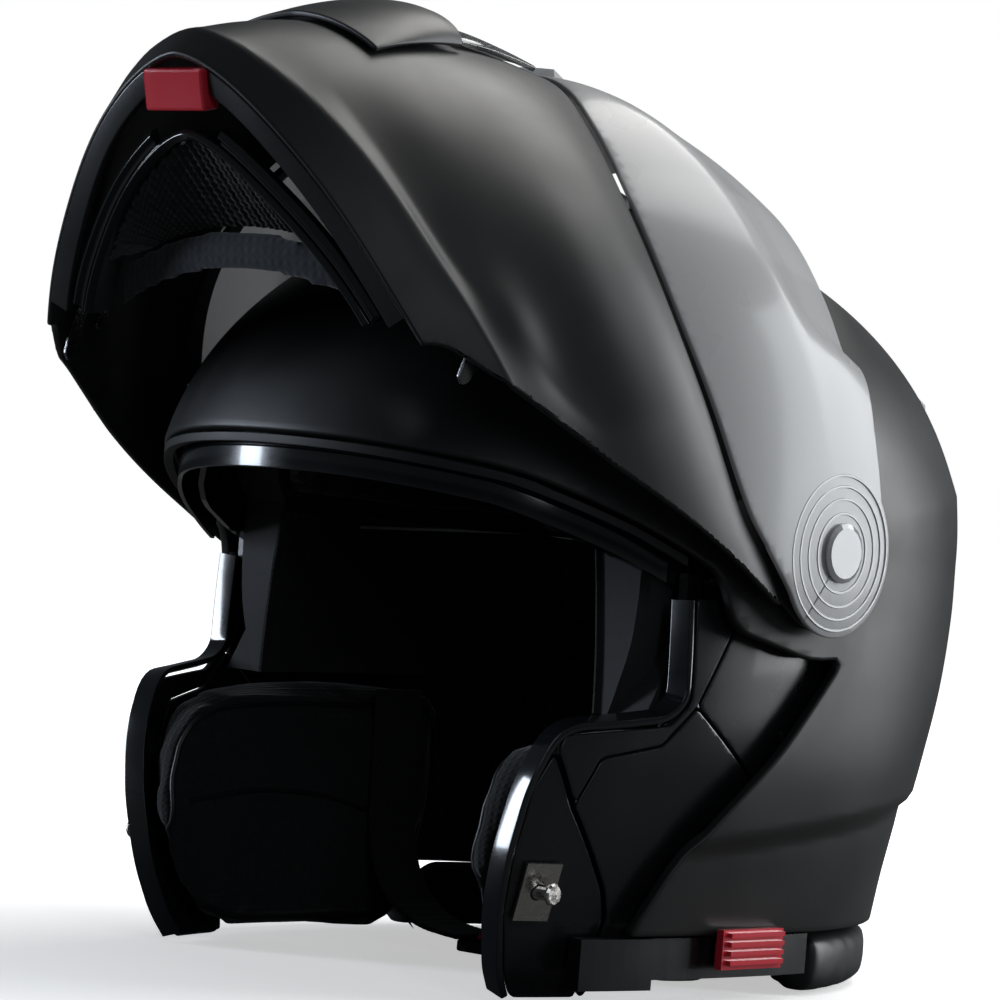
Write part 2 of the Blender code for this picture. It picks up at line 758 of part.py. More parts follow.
def brow_path(inset, drop, reach, count):
    """Frames along the brow edge from the right, round the front, to the left."""
    path = []
    for i in range(count + 1):
        turn = math.radians(-reach + 2 * reach * i / count)
        z = 20 * MM
        for _ in range(4):
            width, front, _rear = shell_section(max(z, 0.0))
            x = (width - inset) * signed_power(math.sin(turn), 2 / PLAN_POWER)
            y = SHELL_CENTRE_Y - (front - inset) * signed_power(math.cos(turn), 2 / PLAN_POWER)
            z = brow_height(y)
        inward = Vector((-x, SHELL_CENTRE_Y - y, 0)).normalized()
        path.append((Vector((x, y, z - drop * MM)), inward, Vector((0, 0, 1))))
    return path


def make_brow_parts():
    seal = [(-0.4, -4.2), (2.8, -4.2), (2.8, -1.4), (1.6, -1.4), (1.2, -2.2), (0.8, -1.4), (-0.4, -1.4)]
    sweep("brow_seal", (RUBBER, 0.6), pivot_frame, brow_path(0.8 * MM, 0, 66, 26), seal)
    rim = [(0.4, -11), (2.0, -11), (2.4, 0.8), (1.0, 0.8), (0.8, -4.2), (0.4, -4.4)]
    sweep("brow_rim", (SATIN, 0.25), pivot_frame, brow_path(5.2 * MM, 0, 64, 26), rim)
    plate = [(0, 2.4), (15, 2.4), (15, 4.6), (0, 4.6)]
    sweep("brow_plate", (SATIN, 0.5), pivot_frame, brow_path(20 * MM, 0, 45, 20), plate)
    for side, sign in SIDES:
        name = "brow_vent_mesh_" + side
        path = brow_path(21.5 * MM, 0, 40, 20)
        chosen = path[1:5] if sign < 0 else path[16:20]
        mesh = [(0, 0.6), (10, 0.6), (10, 2.0), (0, 2.0)]
        sweep(name, ((0.06, 0.06, 0.065), 0.5), pivot_frame, chosen, mesh)


make_brow_parts()


# ---------------------------------------------------------------- sun visor and its slider
SUN_AXIS = (-26, -12)
SUN_REACH = 104.8 * MM
SUN_HALF_WIDTH = 94.0 * MM
SUN_POWER = 2.0
SUN_WALL = 2.0 * MM


def sun_point(x, turn, grow=0.0):
    """A point of the surface turned about the sun visor's axis."""
    share = min(abs(x) / (SUN_HALF_WIDTH + grow), 1.0)
    radius = (SUN_REACH + grow) * (1 - share**SUN_POWER) ** (1 / SUN_POWER)
    tilt = math.radians(turn)
    return Vector((x, -radius * math.cos(tilt), radius * math.sin(tilt)))


def sun_surface(name, look, grow, home):
    """A closed or open surface of revolution about the sun visor's axis."""
    half = SUN_HALF_WIDTH + grow
    stations = [half * math.sin(math.radians(a)) for a in range(-90, 91, 10)]
    stations[0] = -half * 0.9995
    stations[-1] = half * 0.9995
    turns = [15 * i for i in range(24)]
    bm = bmesh.new()
    rows = skin_rings(bm, [[sun_point(x, turn, grow) for turn in turns] for x in stations])
    for row in (rows[0], rows[-1]):
        bm.faces.new(row)
    return place(bm, name, look, sun_axis, home=home)


sun_axis = empty("sun_visor_axis", (0, SUN_AXIS[0] * MM, SUN_AXIS[1] * MM), pivot_frame)


def make_sun_visor():
    """A smoked lens that turns down from the gap between the shell and the foam."""
    lens = thicken(sun_surface("sun_visor", (SMOKE, 0.08, 0.0, 0.6), 0.0, parts), SUN_WALL)
    ear = disc_outline(10 * MM, 62, -151, 10)
    front = [(-30, 2), (-58, 12), (-84, 32), (-116, 44), (-108, 60)]
    rear = [(-60, 104), (-34, 108), (-30, 80), (-8, 30)]
    outline = ear + front + rear
    cut(lens, prism("sun_visor_outline", outline, -0.2, 0.2, sun_axis), "INTERSECT")
    for side, sign in SIDES:
        low, high = side_range(80, 110, sign)
        cut(lens, rod("sun_visor_hole_" + side, None, sun_axis, (0, 0), low, high, 3.4))
        low, high = side_range(88, 99.5, sign)
        rod("sun_visor_pin_" + side, (STEEL, 0.35, 1.0), sun_axis, (0, 0), low, high, 2.8)
    weld(lens)


def clear_sun_visor_room(liner):
    """Take the foam away where the sun visor stows and sweeps."""
    room = sun_surface("sun_visor_room", None, -4.2 * MM, cutters)
    wedge = [(0, 0)]
    for degrees in (-60, -20, 20, 50, 80, 98):
        turn = math.radians(degrees)
        wedge.append((-160 * math.cos(turn), 160 * math.sin(turn)))
    keep = prism("sun_visor_wedge", wedge, -0.2, 0.2, sun_axis)
    cut(keep, as_cutter(room))
    cut(liner, keep)
    for side, sign in SIDES:
        low, high = side_range(87.3, 98.2, sign)
        cut(liner, rod("sun_visor_ear_room_" + side, None, sun_axis, (0, 0), low, high, 14.3, sides=18))
    weld(liner)


def rail_section(thickness, height):
    """A flat bar's section (mm) hanging down and inward from its path."""
    return [(0, -height), (thickness, -height), (thickness, 0), (0, 0)]


def rail_path(y_start, y_end, z, inset, count):
    """A path along the left bottom edge between two depths (mm)."""
    path = []
    for i in range(count + 1):
        y = (y_start + (y_end - y_start) * i / count) * MM
        normal = surface_normal(y, z, inset)
        inward = Vector((-normal.x, -normal.y, 0)).normalized()
        path.append((surface_point(y, z, inset), inward, Vector((0, 0, 1))))
    return path


def make_lower_rails():
    look = (SATIN, 0.3)
    z = -0.1240
    sweep("lower_rail_left", look, pivot_frame,
          rail_path(-74, -45, z, 0.6 * MM, 5), rail_section(6.5, 16))
    sweep("slider_housing", look, pivot_frame,
          rail_path(-44.6, 33, z, 2.2 * MM, 10), rail_section(6.0, 13))
    right = sweep("rail_source", look, pivot_frame,
                  rail_path(-74, 33, z, 0.6 * MM, 12), rail_section(6.5, 16))
    mirrored(right, "lower_rail_right", look)
    bpy.data.objects.remove(right)


def make_sun_slider():
    """The red ribbed slider that works the sun visor."""
    look = (RED, 0.3)
    body = block("sun_visor_slider", (101.8, -20, -133.5), (104.4, 11, -120.9), pivot_frame, look)
    cut(body, block("slider_stem", (99.1, -17, -133), (102.5, 8, -125.5), pivot_frame), "UNION")
    for i in range(4):
        z = -131.2 + 2.9 * i
        rib = block("slider_rib", (103.8, -17.5, z - 0.75), (106.0, 10.0, z + 0.75), pivot_frame)
        cut(body, rib, "UNION")


def make_cable():
    """The cable from the slider up to the sun visor's left pin."""
    path = []
    for i in range(9):
        share = i / 8
        y = (20 - 24 * share) * MM
        z = (-120 + 62 * share) * MM
        normal = surface_normal(y, z, 6.2 * MM)
        path.append((surface_point(y, z, 6.2 * MM), normal, Vector((0, 1, 0))))
    section = [(0.9 * math.cos(math.radians(60 * k)), 0.9 * math.sin(math.radians(60 * k))) for k in range(6)]
    sweep("sun_visor_cable", (RUBBER, 0.5), pivot_frame, path, section)


make_sun_visor()
clear_sun_visor_room(foam_liner)
make_lower_rails()
make_sun_slider()
make_cable()


# ---------------------------------------------------------------- vents and spoiler on the shell
def make_spoiler():
    """The rear spoiler: a wedge across the back that stands off the dome."""
    bm = bmesh.new()
    rings = []
    for i in range(13):
        x = -48 + 8 * i
        bend = 0.0052 * x * x
        tail = 157 - bend
        rings.append([
            Vector((x, 66 - bend, 99 - 0.35 * bend)) * MM,
            Vector((x, 105 - bend, 85 - 0.5 * bend)) * MM,
            Vector((x, tail, 57 - 0.4 * bend)) * MM,
            Vector((x, tail + 0.5, 53 - 0.4 * bend)) * MM,
            Vector((x, 118 - bend, 46 - 0.4 * bend)) * MM,
            Vector((x, 70 - bend, 60 - 0.4 * bend)) * MM,
        ])
    rows = skin_rings(bm, rings)
    bm.faces.new(rows[0])
    bm.faces.new(list(reversed(rows[-1])))
    spoiler = place(bm, "rear_spoiler", (SATIN, 0.4), pivot_frame)
    room = shell_blank("spoiler_room", -0.9 * MM, -0.02, count=44, steps_low=2, steps_high=9)
    cut(spoiler, as_cutter(place(room, "spoiler_room", None, pivot_frame, home=cutters)))
    weld(spoiler)


def make_top_vent():
    """A low hood on the crown with a sliding shutter in it."""
    bm = bmesh.new()
    rings = []
    for i in range(9):
        share = i / 8
        y = -30 + 62 * share
        half = 13 + 10 * math.sin(math.pi * min(share * 1.1, 1.0))
        rise = 8.0 * math.sin(math.pi * (0.14 + 0.8 * share))
        rings.append([
            Vector((-half, y, 96)) * MM, Vector((half, y, 96)) * MM,
            Vector((half * 0.86, y, 107 + rise * 0.5)) * MM, Vector((half * 0.45, y, 107.6 + rise)) * MM,
            Vector((-half * 0.45, y, 107.6 + rise)) * MM, Vector((-half * 0.86, y, 107 + rise * 0.5)) * MM,
        ])
    rows = skin_rings(bm, rings)
    bm.faces.new(rows[0])
    bm.faces.new(list(reversed(rows[-1])))
    hood = place(bm, "top_vent_base", (SATIN, 0.4), pivot_frame)
    room = shell_blank("hood_room", -0.9 * MM, -0.02, count=44, steps_low=2, steps_high=9)
    cut(hood, as_cutter(place(room, "hood_room", None, pivot_frame, home=cutters)))
    track = block("vent_track", (-9, -12, 110.6), (9, 16, 130), pivot_frame)
    cut(hood, track)
    slider = block("top_vent_slider", (-8.6, -11.5, 111.0), (8.6, 7.5, 114.6), pivot_frame,
                   (SATIN, 0.3), bevel=0.6)
    cut(slider, block("thumb_ridge", (-5, -3, 113.8), (5, -1, 116.2), pivot_frame), "UNION")


make_spoiler()
make_top_vent()


# ---------------------------------------------------------------- chin straps and buckle
def ribbon(name, look, path, width, thickness):
    """A flat strap: a side profile of (x, z) in mm, carried along Y."""
    bm = bmesh.new()
    rings = []
    for i, (x, z) in enumerate(path):
        x0, z0 = path[max(i - 1, 0)]
        x1, z1 = path[min(i + 1, len(path) - 1)]
        along = Vector((x1 - x0, 0, z1 - z0)).normalized()
        side = Vector((along.z, 0, -along.x)) * thickness / 2
        middle = Vector((x, 4, z))
        edge = Vector((0, width / 2, 0))
        corners = ((side, edge), (side, -edge), (-side, -edge), (-side, edge))
        rings.append([(middle + a + b) * MM for a, b in corners])
    rows = skin_rings(bm, rings)
    bm.faces.new(rows[0])
    bm.faces.new(list(reversed(rows[-1])))
    place(bm, name, look, pivot_frame)


def make_straps():
    look = (FABRIC, 0.9)
    drop = [(62.4, -60), (62.0, -85), (61.0, -108), (56.0, -124), (46.0, -134)]
    ribbon("strap_right", look, [(-x, z) for x, z in drop] + [(-34, -138.5), (-17.5, -140)], 22, 1.6)
    ribbon("strap_left", look, drop + [(36.5, -138)], 22, 1.6)
    block("strap_buckle", (-16.5, -8, -143.5), (16, 16, -139.5), pivot_frame, (SATIN, 0.3), bevel=0.8)
    block("buckle_lever", (-10, -5, -139.0), (14, 13, -137.2), pivot_frame, (RED, 0.35), bevel=0.5)
    block("buckle_tongue", (16.6, -7, -141.5), (35, 15, -139.2), pivot_frame, (STEEL, 0.4, 1.0))


make_straps()


# ---------------------------------------------------------------- chin bar fittings (closed position)
def lip_path(inset, reach, count, share=1.0):
    """Frames along the chin bar at one share of the way down: point, inward, up."""
    path = []
    for i in range(count + 1):
        angle = -reach + 2 * reach * i / count
        point = chin_point(angle, share, inset * MM)
        inward = Vector((-point.x, -point.y - 60 * MM, 0)).normalized()
        path.append((point, inward, Vector((0, 0, 1))))
    return path


def frame_path(extra):
    """Frames along the inner frame, which stands further back behind the button."""
    path = lip_path(15.4 + extra, 34, 24)
    count = len(path) - 1
    moved = []
    for i, (point, inward, up) in enumerate(path):
        push = 7.5 * math.sin(math.pi * i / count) ** 2
        moved.append((point + inward * push * MM, inward, up))
    return moved


def make_chin_trims():
    """The lip trim, the ridged inner frame and the rubber strip under the visor."""
    lip = [(0, 0.2), (7.4, 0.6), (8.0, 2.6), (0, 3.2)]
    look = (SATIN, 0.35)
    side = [chosen for chosen in lip_path(5.8, 38, 40) if chosen[0].x > 13.6 * MM]
    trim = sweep("chin_lip_trim_left", look, chin_axis, side, lip)
    mirrored(trim, "chin_lip_trim_right", look)
    frame = [(0, 2.4), (2.0, 0.8), (3.6, 2.4), (5.2, 2.4), (6.8, 0.9), (8.6, 2.6)]
    frame += [(8.8, 12), (6.6, 12), (6.4, 5), (0, 5)]
    sweep("chin_inner_frame", (SATIN, 0.18), chin_axis, frame_path(0.0), frame)
    seal = [(0, -6), (2.2, -6), (2.2, 0.6), (1.2, 2.0), (0, 0.6)]
    sweep("visor_seal", (RUBBER, 0.6), chin_axis, lip_path(5.4, 64, 26, 0.0), seal)


CURTAIN_HALF_WIDTH = 58
MESH_HALF_WIDTH = 47


def curtain_line(share, setback):
    """A point of the chin curtain's inner edge; share runs 0 to 1 from right to left."""
    x = CURTAIN_HALF_WIDTH * (2 * share - 1)
    y = -106.5 + 14.0 * (2 * share - 1) ** 2
    z = -134 + 6 * (2 * share - 1) ** 2
    return Vector((x, y - setback, z)) * MM


def make_chin_curtain():
    """The mesh panel and the padded fabric band that close the chin bar from below."""
    bm = bmesh.new()
    rings = []
    for point, _inward, up in frame_path(9.4):
        if abs(point.x) > MESH_HALF_WIDTH * MM:
            continue
        inner = curtain_line((point.x / MM + CURTAIN_HALF_WIDTH) / (2 * CURTAIN_HALF_WIDTH), 13.5)
        rings.append([point + up * 5 * MM, inner + up * 6 * MM, inner + up * 7.2 * MM, point + up * 6.2 * MM])
    rows = skin_rings(bm, rings)
    bm.faces.new(rows[0])
    bm.faces.new(list(reversed(rows[-1])))
    place(bm, "chin_mesh", (FABRIC, 0.9), chin_axis)
    bm = bmesh.new()
    rings = []
    for i in range(21):
        back = curtain_line(i / 20, 12.8)
        front = curtain_line(i / 20, 0.0)
        up = Vector((0, 0, 1)) * MM
        rings.append([back + up * 3, front + up * 1, front + up * 4, back + up * 7])
    rows = skin_rings(bm, rings)
    bm.faces.new(rows[0])
    bm.faces.new(list(reversed(rows[-1])))
    place(bm, "chin_curtain", ((0.03, 0.034, 0.042), 0.9), chin_axis)


def chin_patch(name, look, parent, angles, shares, heights, wall):
    """A plate standing off the chin bar: heights (mm) by share, rounded off at its sides."""
    bm = bmesh.new()
    rings = []
    for share, height in zip(shares, heights):
        ring = []
        for k in range(9):
            angle = -angles + 2 * angles * k / 8
            lift = wall + 0.6 + (height - wall - 0.6) * math.cos(math.radians(90 * (k - 4) / 4.6)) ** 0.6
            ring.append(chin_point(angle, share, -lift * MM))
        rings.append(ring)
    skin_rings(bm, rings, closed=False)
    thicken(place(bm, name, look, parent), wall * MM)


def make_chin_vent():
    """The scoop that slides to open the vent, and the smoked panel behind it."""
    chin_patch("chin_vent_cover", (MATTE, 0.45), chin_axis, 12,
               [0.34, 0.38, 0.44, 0.51, 0.58, 0.64], [9.0, 9.6, 8.8, 6.8, 4.6, 2.9], 2.0)
    chin_patch("chin_vent_lens", (SMOKE, 0.1, 0.0, 0.7), chin_axis, 10.5,
               [0.05, 0.11, 0.18, 0.25, 0.32], [2.9, 3.6, 4.2, 4.6, 4.6], 1.8)
    slot = prism("vent_slot", [(-150, -62), (-150, -68), (-190, -68), (-190, -62)], -0.016, 0.016, chin_axis)
    cut(chin_bar_shell, slot)


HOOK_X = 87.7
HOOK_LEAN = 0.22
HOOK_THICKNESS = 1.2
# outlines in mm from the striker pin: along the way the pin leaves, and outward from the pivot
HOOK_OUTLINE = [
    (-2.2, -2.4), (0.0, -2.9), (5.0, -2.9), (5.6, -5.0), (2.0, -7.4), (-4.0, -7.6), (-8.0, -5.0), (-8.6, 0.0),
    (-7.0, 4.0), (-3.0, 7.6), (10.0, 9.0), (21.0, 7.6), (22.5, 5.0), (20.5, 3.4), (10.0, 3.2), (0.0, 2.9),
    (-2.2, 2.4), (-3.0, 0.0),
]
HOOK_ROOM = [(7, -9), (-6, -9), (-10, -5), (-10, 1), (-8, 6), (-4, 9.5), (10, 11), (26, 9), (26, -4)]
HEAD_ROOM = [(-5, -4.5), (-5, 4.5), (30, 4.5), (30, -8), (14, -6), (4, -4.5)]


def hook_points(outline):
    """Side-view points (mm) of an outline laid out from the striker pin."""
    points = []
    for along, out in outline:
        y = STRIKER[0] + 0.777 * along - 0.629 * out
        z = STRIKER[1] - 0.629 * along - 0.777 * out
        points.append((y, z))
    return points


def leaning(points, sign, low, high, lean):
    """A plate between two X values (mm) at the striker's height, leaning with height."""
    bm = bmesh.new()
    ring = []
    for y, z in points:
        x = low + lean * (z - STRIKER[1])
        ring.append(bm.verts.new((sign * x * MM, y * MM, z * MM)))
    grown = bmesh.ops.extrude_face_region(bm, geom=[bm.faces.new(ring)])
    moved = [item for item in grown["geom"] if isinstance(item, bmesh.types.BMVert)]
    bmesh.ops.translate(bm, verts=moved, vec=(sign * (high - low) * MM, 0, 0))
    return bm


def make_release():
    """The red button under the lip and the two latch hooks that it turns."""
    look = (RED, 0.25)
    block("release_button", (-12.5, -171.4, -152.4), (12.5, -158.6, -145.5), chin_axis, look, bevel=1.0)
    room = block("button_room", (-14.5, -173.2, -165), (14.5, -151.4, -136), chin_axis)
    cut(bpy.data.objects["chin_inner_frame"], room)
    for side, sign in SIDES:
        head_room = leaning(hook_points(HEAD_ROOM), sign, 84.0, 92.1, 0.0)
        cut(chin_bar_shell, as_cutter(place(head_room, "head_room", None, chin_axis, home=cutters)))
        hook_room = leaning(hook_points(HOOK_ROOM), sign, 80.0, HOOK_X + HOOK_THICKNESS + 0.4, HOOK_LEAN)
        cut(chin_bar_shell, as_cutter(place(hook_room, "hook_room", None, chin_axis, home=cutters)))
        bm = leaning(hook_points(HOOK_OUTLINE), sign, HOOK_X, HOOK_X + HOOK_THICKNESS, HOOK_LEAN)
        place(bm, "latch_hook_" + side, (STEEL, 0.4, 1.0), chin_axis, smooth=False)


def make_visor_tab():
    """The lift tab at the visor's lower middle."""
    bm = bmesh.new()
    rings = []
    for share in (0.0, 0.25, 0.5, 0.75, 1.0):
        turn = 1.5 + 9.0 * share
        half = 17 - 9 * share
        rise = 0.6 + 2.6 * (1 - share)
        low = [visor_point(x * MM, turn, -0.4 * MM) for x in (-half, -half / 2, 0, half / 2, half)]
        top = [visor_point(x * MM, turn, -(0.4 + rise) * MM) for x in (half, half / 2, 0, -half / 2, -half)]
        rings.append(low + top)
    rows = skin_rings(bm, rings)
    bm.faces.new(rows[0])
    bm.faces.new(list(reversed(rows[-1])))
    place(bm, "visor_tab", (CLEAR, 0.1, 0.0, 0.6), chin_axis)


make_chin_trims()
make_chin_curtain()
make_chin_vent()
make_release()
make_visor_tab()
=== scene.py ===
"""Looks of the flip-up helmet: fine surfaces, padding, finishes, light and camera.

Shapes are worked out in the helmet's pivot frame, in millimetres: its origin is the middle of the
chin bar's pivot axis, +X the wearer's left, -Y the front, +Z up.  Pieces of the chin bar and the
visor are laid out closed and then turned up to the open rest position.
"""
import json
import math

import bmesh
import bpy
import numpy as np
from mathutils import Matrix, Vector
from mathutils.bvhtree import BVHTree


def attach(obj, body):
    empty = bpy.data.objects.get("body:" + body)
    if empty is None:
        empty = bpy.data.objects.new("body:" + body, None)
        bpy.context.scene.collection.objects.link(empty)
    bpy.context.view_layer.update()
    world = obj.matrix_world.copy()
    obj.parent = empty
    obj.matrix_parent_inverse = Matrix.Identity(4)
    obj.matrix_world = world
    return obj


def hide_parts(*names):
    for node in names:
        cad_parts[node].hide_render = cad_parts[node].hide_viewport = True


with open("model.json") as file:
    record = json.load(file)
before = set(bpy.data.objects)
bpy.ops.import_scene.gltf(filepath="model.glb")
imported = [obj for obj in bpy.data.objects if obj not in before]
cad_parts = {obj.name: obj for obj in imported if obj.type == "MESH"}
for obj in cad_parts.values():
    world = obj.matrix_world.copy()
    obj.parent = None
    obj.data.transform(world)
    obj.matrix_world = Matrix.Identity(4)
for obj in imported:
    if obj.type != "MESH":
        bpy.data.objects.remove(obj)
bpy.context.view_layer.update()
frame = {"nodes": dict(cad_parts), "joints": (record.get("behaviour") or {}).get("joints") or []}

MM = 0.001
HINGE = next(joint for joint in frame["joints"] if joint["name"] == "chin_bar_hinge")
PIVOT = Vector(HINGE["pos_m"])
OPEN_ANGLE = -HINGE["range_deg"][0]
FIXED = Matrix.Translation(PIVOT)
RAISED = FIXED @ Matrix.Rotation(-math.radians(OPEN_ANGLE), 4, "X")


# ---------------------------------------------------------------- finishes
class Finish:
    """A node material built step by step."""

    def __init__(self, name):
        self.material = bpy.data.materials.new(name)
        self.material.use_nodes = True
        self.nodes = self.material.node_tree.nodes
        self.links = self.material.node_tree.links
        self.shader = self.nodes["Principled BSDF"]
        self.coordinates = self.nodes.new("ShaderNodeTexCoord").outputs["Object"]

    def set(self, **values):
        for key, value in values.items():
            self.shader.inputs[key.replace("_", " ")].default_value = value

    def node(self, kind, inputs, **settings):
        """Add a node; an input is either a value or another node's socket."""
        made = self.nodes.new("ShaderNode" + kind)
        for key, value in settings.items():
            setattr(made, key, value)
        for key, value in inputs.items():
            if isinstance(value, bpy.types.NodeSocket):
                self.links.new(value, made.inputs[key])
            else:
                made.inputs[key].default_value = value
        return made

    def noise(self, scale, detail):
        made = self.node("TexNoise", {"Vector": self.coordinates, "Scale": scale, "Detail": detail})
        return made.outputs[0]

    def spread(self, source, low, high):
        """Map 0.3..0.7 of a source to a range of values."""
        made = self.node("MapRange", {"Value": source, 1: 0.3, 2: 0.7, 3: low, 4: high})
        return made.outputs[0]

    def to(self, source, key):
        self.links.new(source, self.shader.inputs[key])

    def bump(self, source, strength, distance):
        made = self.node("Bump", {"Height": source, "Strength": strength, "Distance": distance})
        self.to(made.outputs[0], "Normal")

    def colours(self, source, low, high):
        """Base colour between two shades."""
        mix = self.node("Mix", {0: source}, data_type="RGBA")
        mix.inputs[6].default_value = (*low, 1)
        mix.inputs[7].default_value = (*high, 1)
        self.to(mix.outputs[2], "Base Color")


def plastic(name, colour, roughness, grain=1800.0, grain_depth=0.00002, coat=0.0):
    """Moulded or painted plastic: fine grain, handling marks in the gloss and faint dust."""
    made = Finish(name)
    fine = made.noise(grain, 2.0)
    marks = made.noise(26.0, 6.0)
    made.to(made.spread(marks, roughness - 0.06, roughness + 0.06), "Roughness")
    dusty = tuple(min(c * 1.35 + 0.002, 1.0) for c in colour)
    made.colours(made.spread(made.noise(9.0, 4.0), 0.0, 1.0), colour, dusty)
    made.bump(fine, 0.35, grain_depth)
    made.set(Coat_Weight=coat, Coat_Roughness=0.06)
    return made.material


def metal(name, colour, roughness):
    """Bare metal with a fine, uneven polish."""
    made = Finish(name)
    polish = made.noise(900.0, 2.0)
    made.set(Base_Color=(*colour, 1), Metallic=1.0)
    made.to(made.spread(polish, roughness - 0.08, roughness + 0.1), "Roughness")
    made.bump(polish, 0.15, 0.00002)
    return made.material


def clear_plastic(name, colour, roughness, see_through, coat=0.6):
    """Clear moulded plastic: a pale body that lets part of what is behind it through."""
    made = Finish(name)
    marks = made.noise(14.0, 4.0)
    made.set(Base_Color=(*colour, 1), IOR=1.5, Coat_Weight=coat, Coat_Roughness=0.10)
    made.set(Alpha=1.0 - see_through)
    made.to(made.spread(marks, roughness, roughness + 0.05), "Roughness")
    return made.material


def fabric(name, colour, lighter, thread=0.0011, depth=0.0004):
    """Woven or knitted cloth: crossing threads, fuzz and uneven colour."""
    made = Finish(name)
    waves_per_metre = 1.0 / thread / 6.3
    threads = {"Vector": made.coordinates, "Scale": waves_per_metre, "Distortion": 1.2, "Detail": 1.0}
    across = made.node("TexWave", threads, bands_direction="X").outputs["Fac"]
    along = made.node("TexWave", threads, bands_direction="Z").outputs["Fac"]
    weave = made.node("Math", {0: across, 1: along}, operation="MULTIPLY").outputs[0]
    fuzz = made.noise(420.0, 3.0)
    surface = made.node("Math", {0: weave, 1: fuzz}, operation="ADD").outputs[0]
    made.colours(made.spread(fuzz, 0.0, 1.0), colour, lighter)
    made.set(Roughness=0.92, Sheen_Weight=0.25, Sheen_Roughness=0.45)
    made.bump(surface, 0.5, depth)
    return made.material


FINISHES = {
    "matt": plastic("matt_black", (0.0105, 0.0108, 0.0115), 0.44, grain=2600.0, grain_depth=0.000015),
    "satin": plastic("satin_black", (0.007, 0.0075, 0.009), 0.27, coat=0.15),
    "gloss": plastic("gloss_black", (0.006, 0.007, 0.0085), 0.16, grain_depth=0.000008, coat=0.5),
    "grey": plastic("ratchet_grey", (0.42, 0.43, 0.45), 0.4),
    "red": plastic("signal_red", (0.62, 0.026, 0.045), 0.20, grain_depth=0.000006, coat=0.6),
    "foam": plastic("impact_foam", (0.022, 0.022, 0.024), 0.8, grain=500.0, grain_depth=0.0003),
    "rubber": plastic("seal_rubber", (0.008, 0.008, 0.009), 0.55, grain=1200.0),
    "steel": metal("pin_steel", (0.62, 0.60, 0.57), 0.22),
    "dark_steel": metal("dark_steel", (0.25, 0.25, 0.26), 0.3),
    "clear": clear_plastic("visor_clear", (0.56, 0.56, 0.57), 0.26, 0.18, coat=0.25),
    "hub": clear_plastic("hub_plastic", (0.42, 0.43, 0.45), 0.12, 0.15),
    "smoke": clear_plastic("smoked_lens", (0.012, 0.012, 0.013), 0.06, 0.25),
    "cloth": fabric("pad_cloth", (0.0055, 0.006, 0.007), (0.012, 0.013, 0.016)),
    "slate": fabric("curtain_cloth", (0.016, 0.019, 0.025), (0.030, 0.034, 0.042),
                    thread=0.0016, depth=0.0003),
    "net": fabric("net_cloth", (0.008, 0.009, 0.010), (0.022, 0.024, 0.027), thread=0.0026, depth=0.0010),
    "vinyl": plastic("roll_vinyl", (0.020, 0.021, 0.022), 0.42, grain=1500.0, grain_depth=0.00006),
    "piping": plastic("pad_piping", (0.012, 0.013, 0.015), 0.38, grain=1500.0, grain_depth=0.00005),
    "webbing": fabric("strap_webbing", (0.006, 0.006, 0.007), (0.013, 0.013, 0.014),
                      thread=0.0018, depth=0.0004),
}

# finish of each node that stays, with the radius (mm) of its softened edges; 0 leaves them as they are
NODE_FINISH = {
    "satin": {"visor_guide_left": 0.35, "visor_guide_right": 0.35, "brow_plate": 0, "lower_rail_left": 0.5,
              "lower_rail_right": 0.5, "slider_housing": 0.5, "rear_spoiler": 0.8, "top_vent_base": 0.8,
              "top_vent_slider": 0.3, "buckle_tongue": 0.3, "strap_buckle": 0.3},
    "grey": {"visor_ratchet_left": 0, "visor_ratchet_right": 0},
    "red": {"release_button": 0.6, "sun_visor_slider": 0.35, "buckle_lever": 0.3},
    "foam": {"eps_liner": 0},
    "rubber": {"sun_visor_cable": 0},
    "steel": {"striker_pin_left": 0.2, "striker_pin_right": 0.2, "striker_plate_left": 0.2,
              "striker_plate_right": 0.2, "sun_visor_pin_left": 0, "sun_visor_pin_right": 0},
    "hub": {"pivot_screw_left": 0.25, "pivot_screw_right": 0.25},
    "clear": {"visor_tab": 0},
    "smoke": {"sun_visor": 0},
}


def soften_edges(node, radius):
    edges = node.modifiers.new("edges", "BEVEL")
    edges.width = radius * MM
    edges.segments = 3
    edges.limit_method = "ANGLE"
    edges.angle_limit = math.radians(38)
    shade = node.modifiers.new("shade", "WEIGHTED_NORMAL")
    shade.keep_sharp = True


def finish_cad_nodes():
    for finish, nodes in NODE_FINISH.items():
        for name, radius in nodes.items():
            node = frame["nodes"][name]
            node.data.materials.clear()
            node.data.materials.append(FINISHES[finish])
            if radius:
                soften_edges(node, radius)


finish_cad_nodes()


# ---------------------------------------------------------------- curves and surfaces (metres)
SHELL_CENTRE_Y = 13.0 * MM
DOME_HEIGHT = 108.0 * MM
DOME_HALF_WIDTH = 114.5 * MM
DOME_FRONT = 152.0 * MM
DOME_REAR = 146.0 * MM
PLAN_POWER = 2.2
SHELL_BOTTOM = -123.5 * MM
# height, half width, length forward of the centre, length behind it (mm)
SHELL_ROWS = [
    (-150, 91, 178, 124), (-130, 99, 186, 120), (-107, 105.5, 190, 119), (-88, 110.5, 189, 122),
    (-68, 114, 184, 129), (-45, 115, 175, 139), (-20, 115, 162, 145), (0, 114.5, 152, 146),
]
# share of the way down, half width, reach forward (mm), roundness in plan
CHIN_ROWS = [
    (0.00, 119.0, 153, 2.20), (0.12, 120.0, 160, 2.20), (0.25, 119.6, 167, 2.15), (0.40, 117.5, 173, 2.10),
    (0.60, 113.5, 179, 1.95), (0.80, 110.5, 182, 1.78), (1.00, 108.0, 181, 1.60),
]
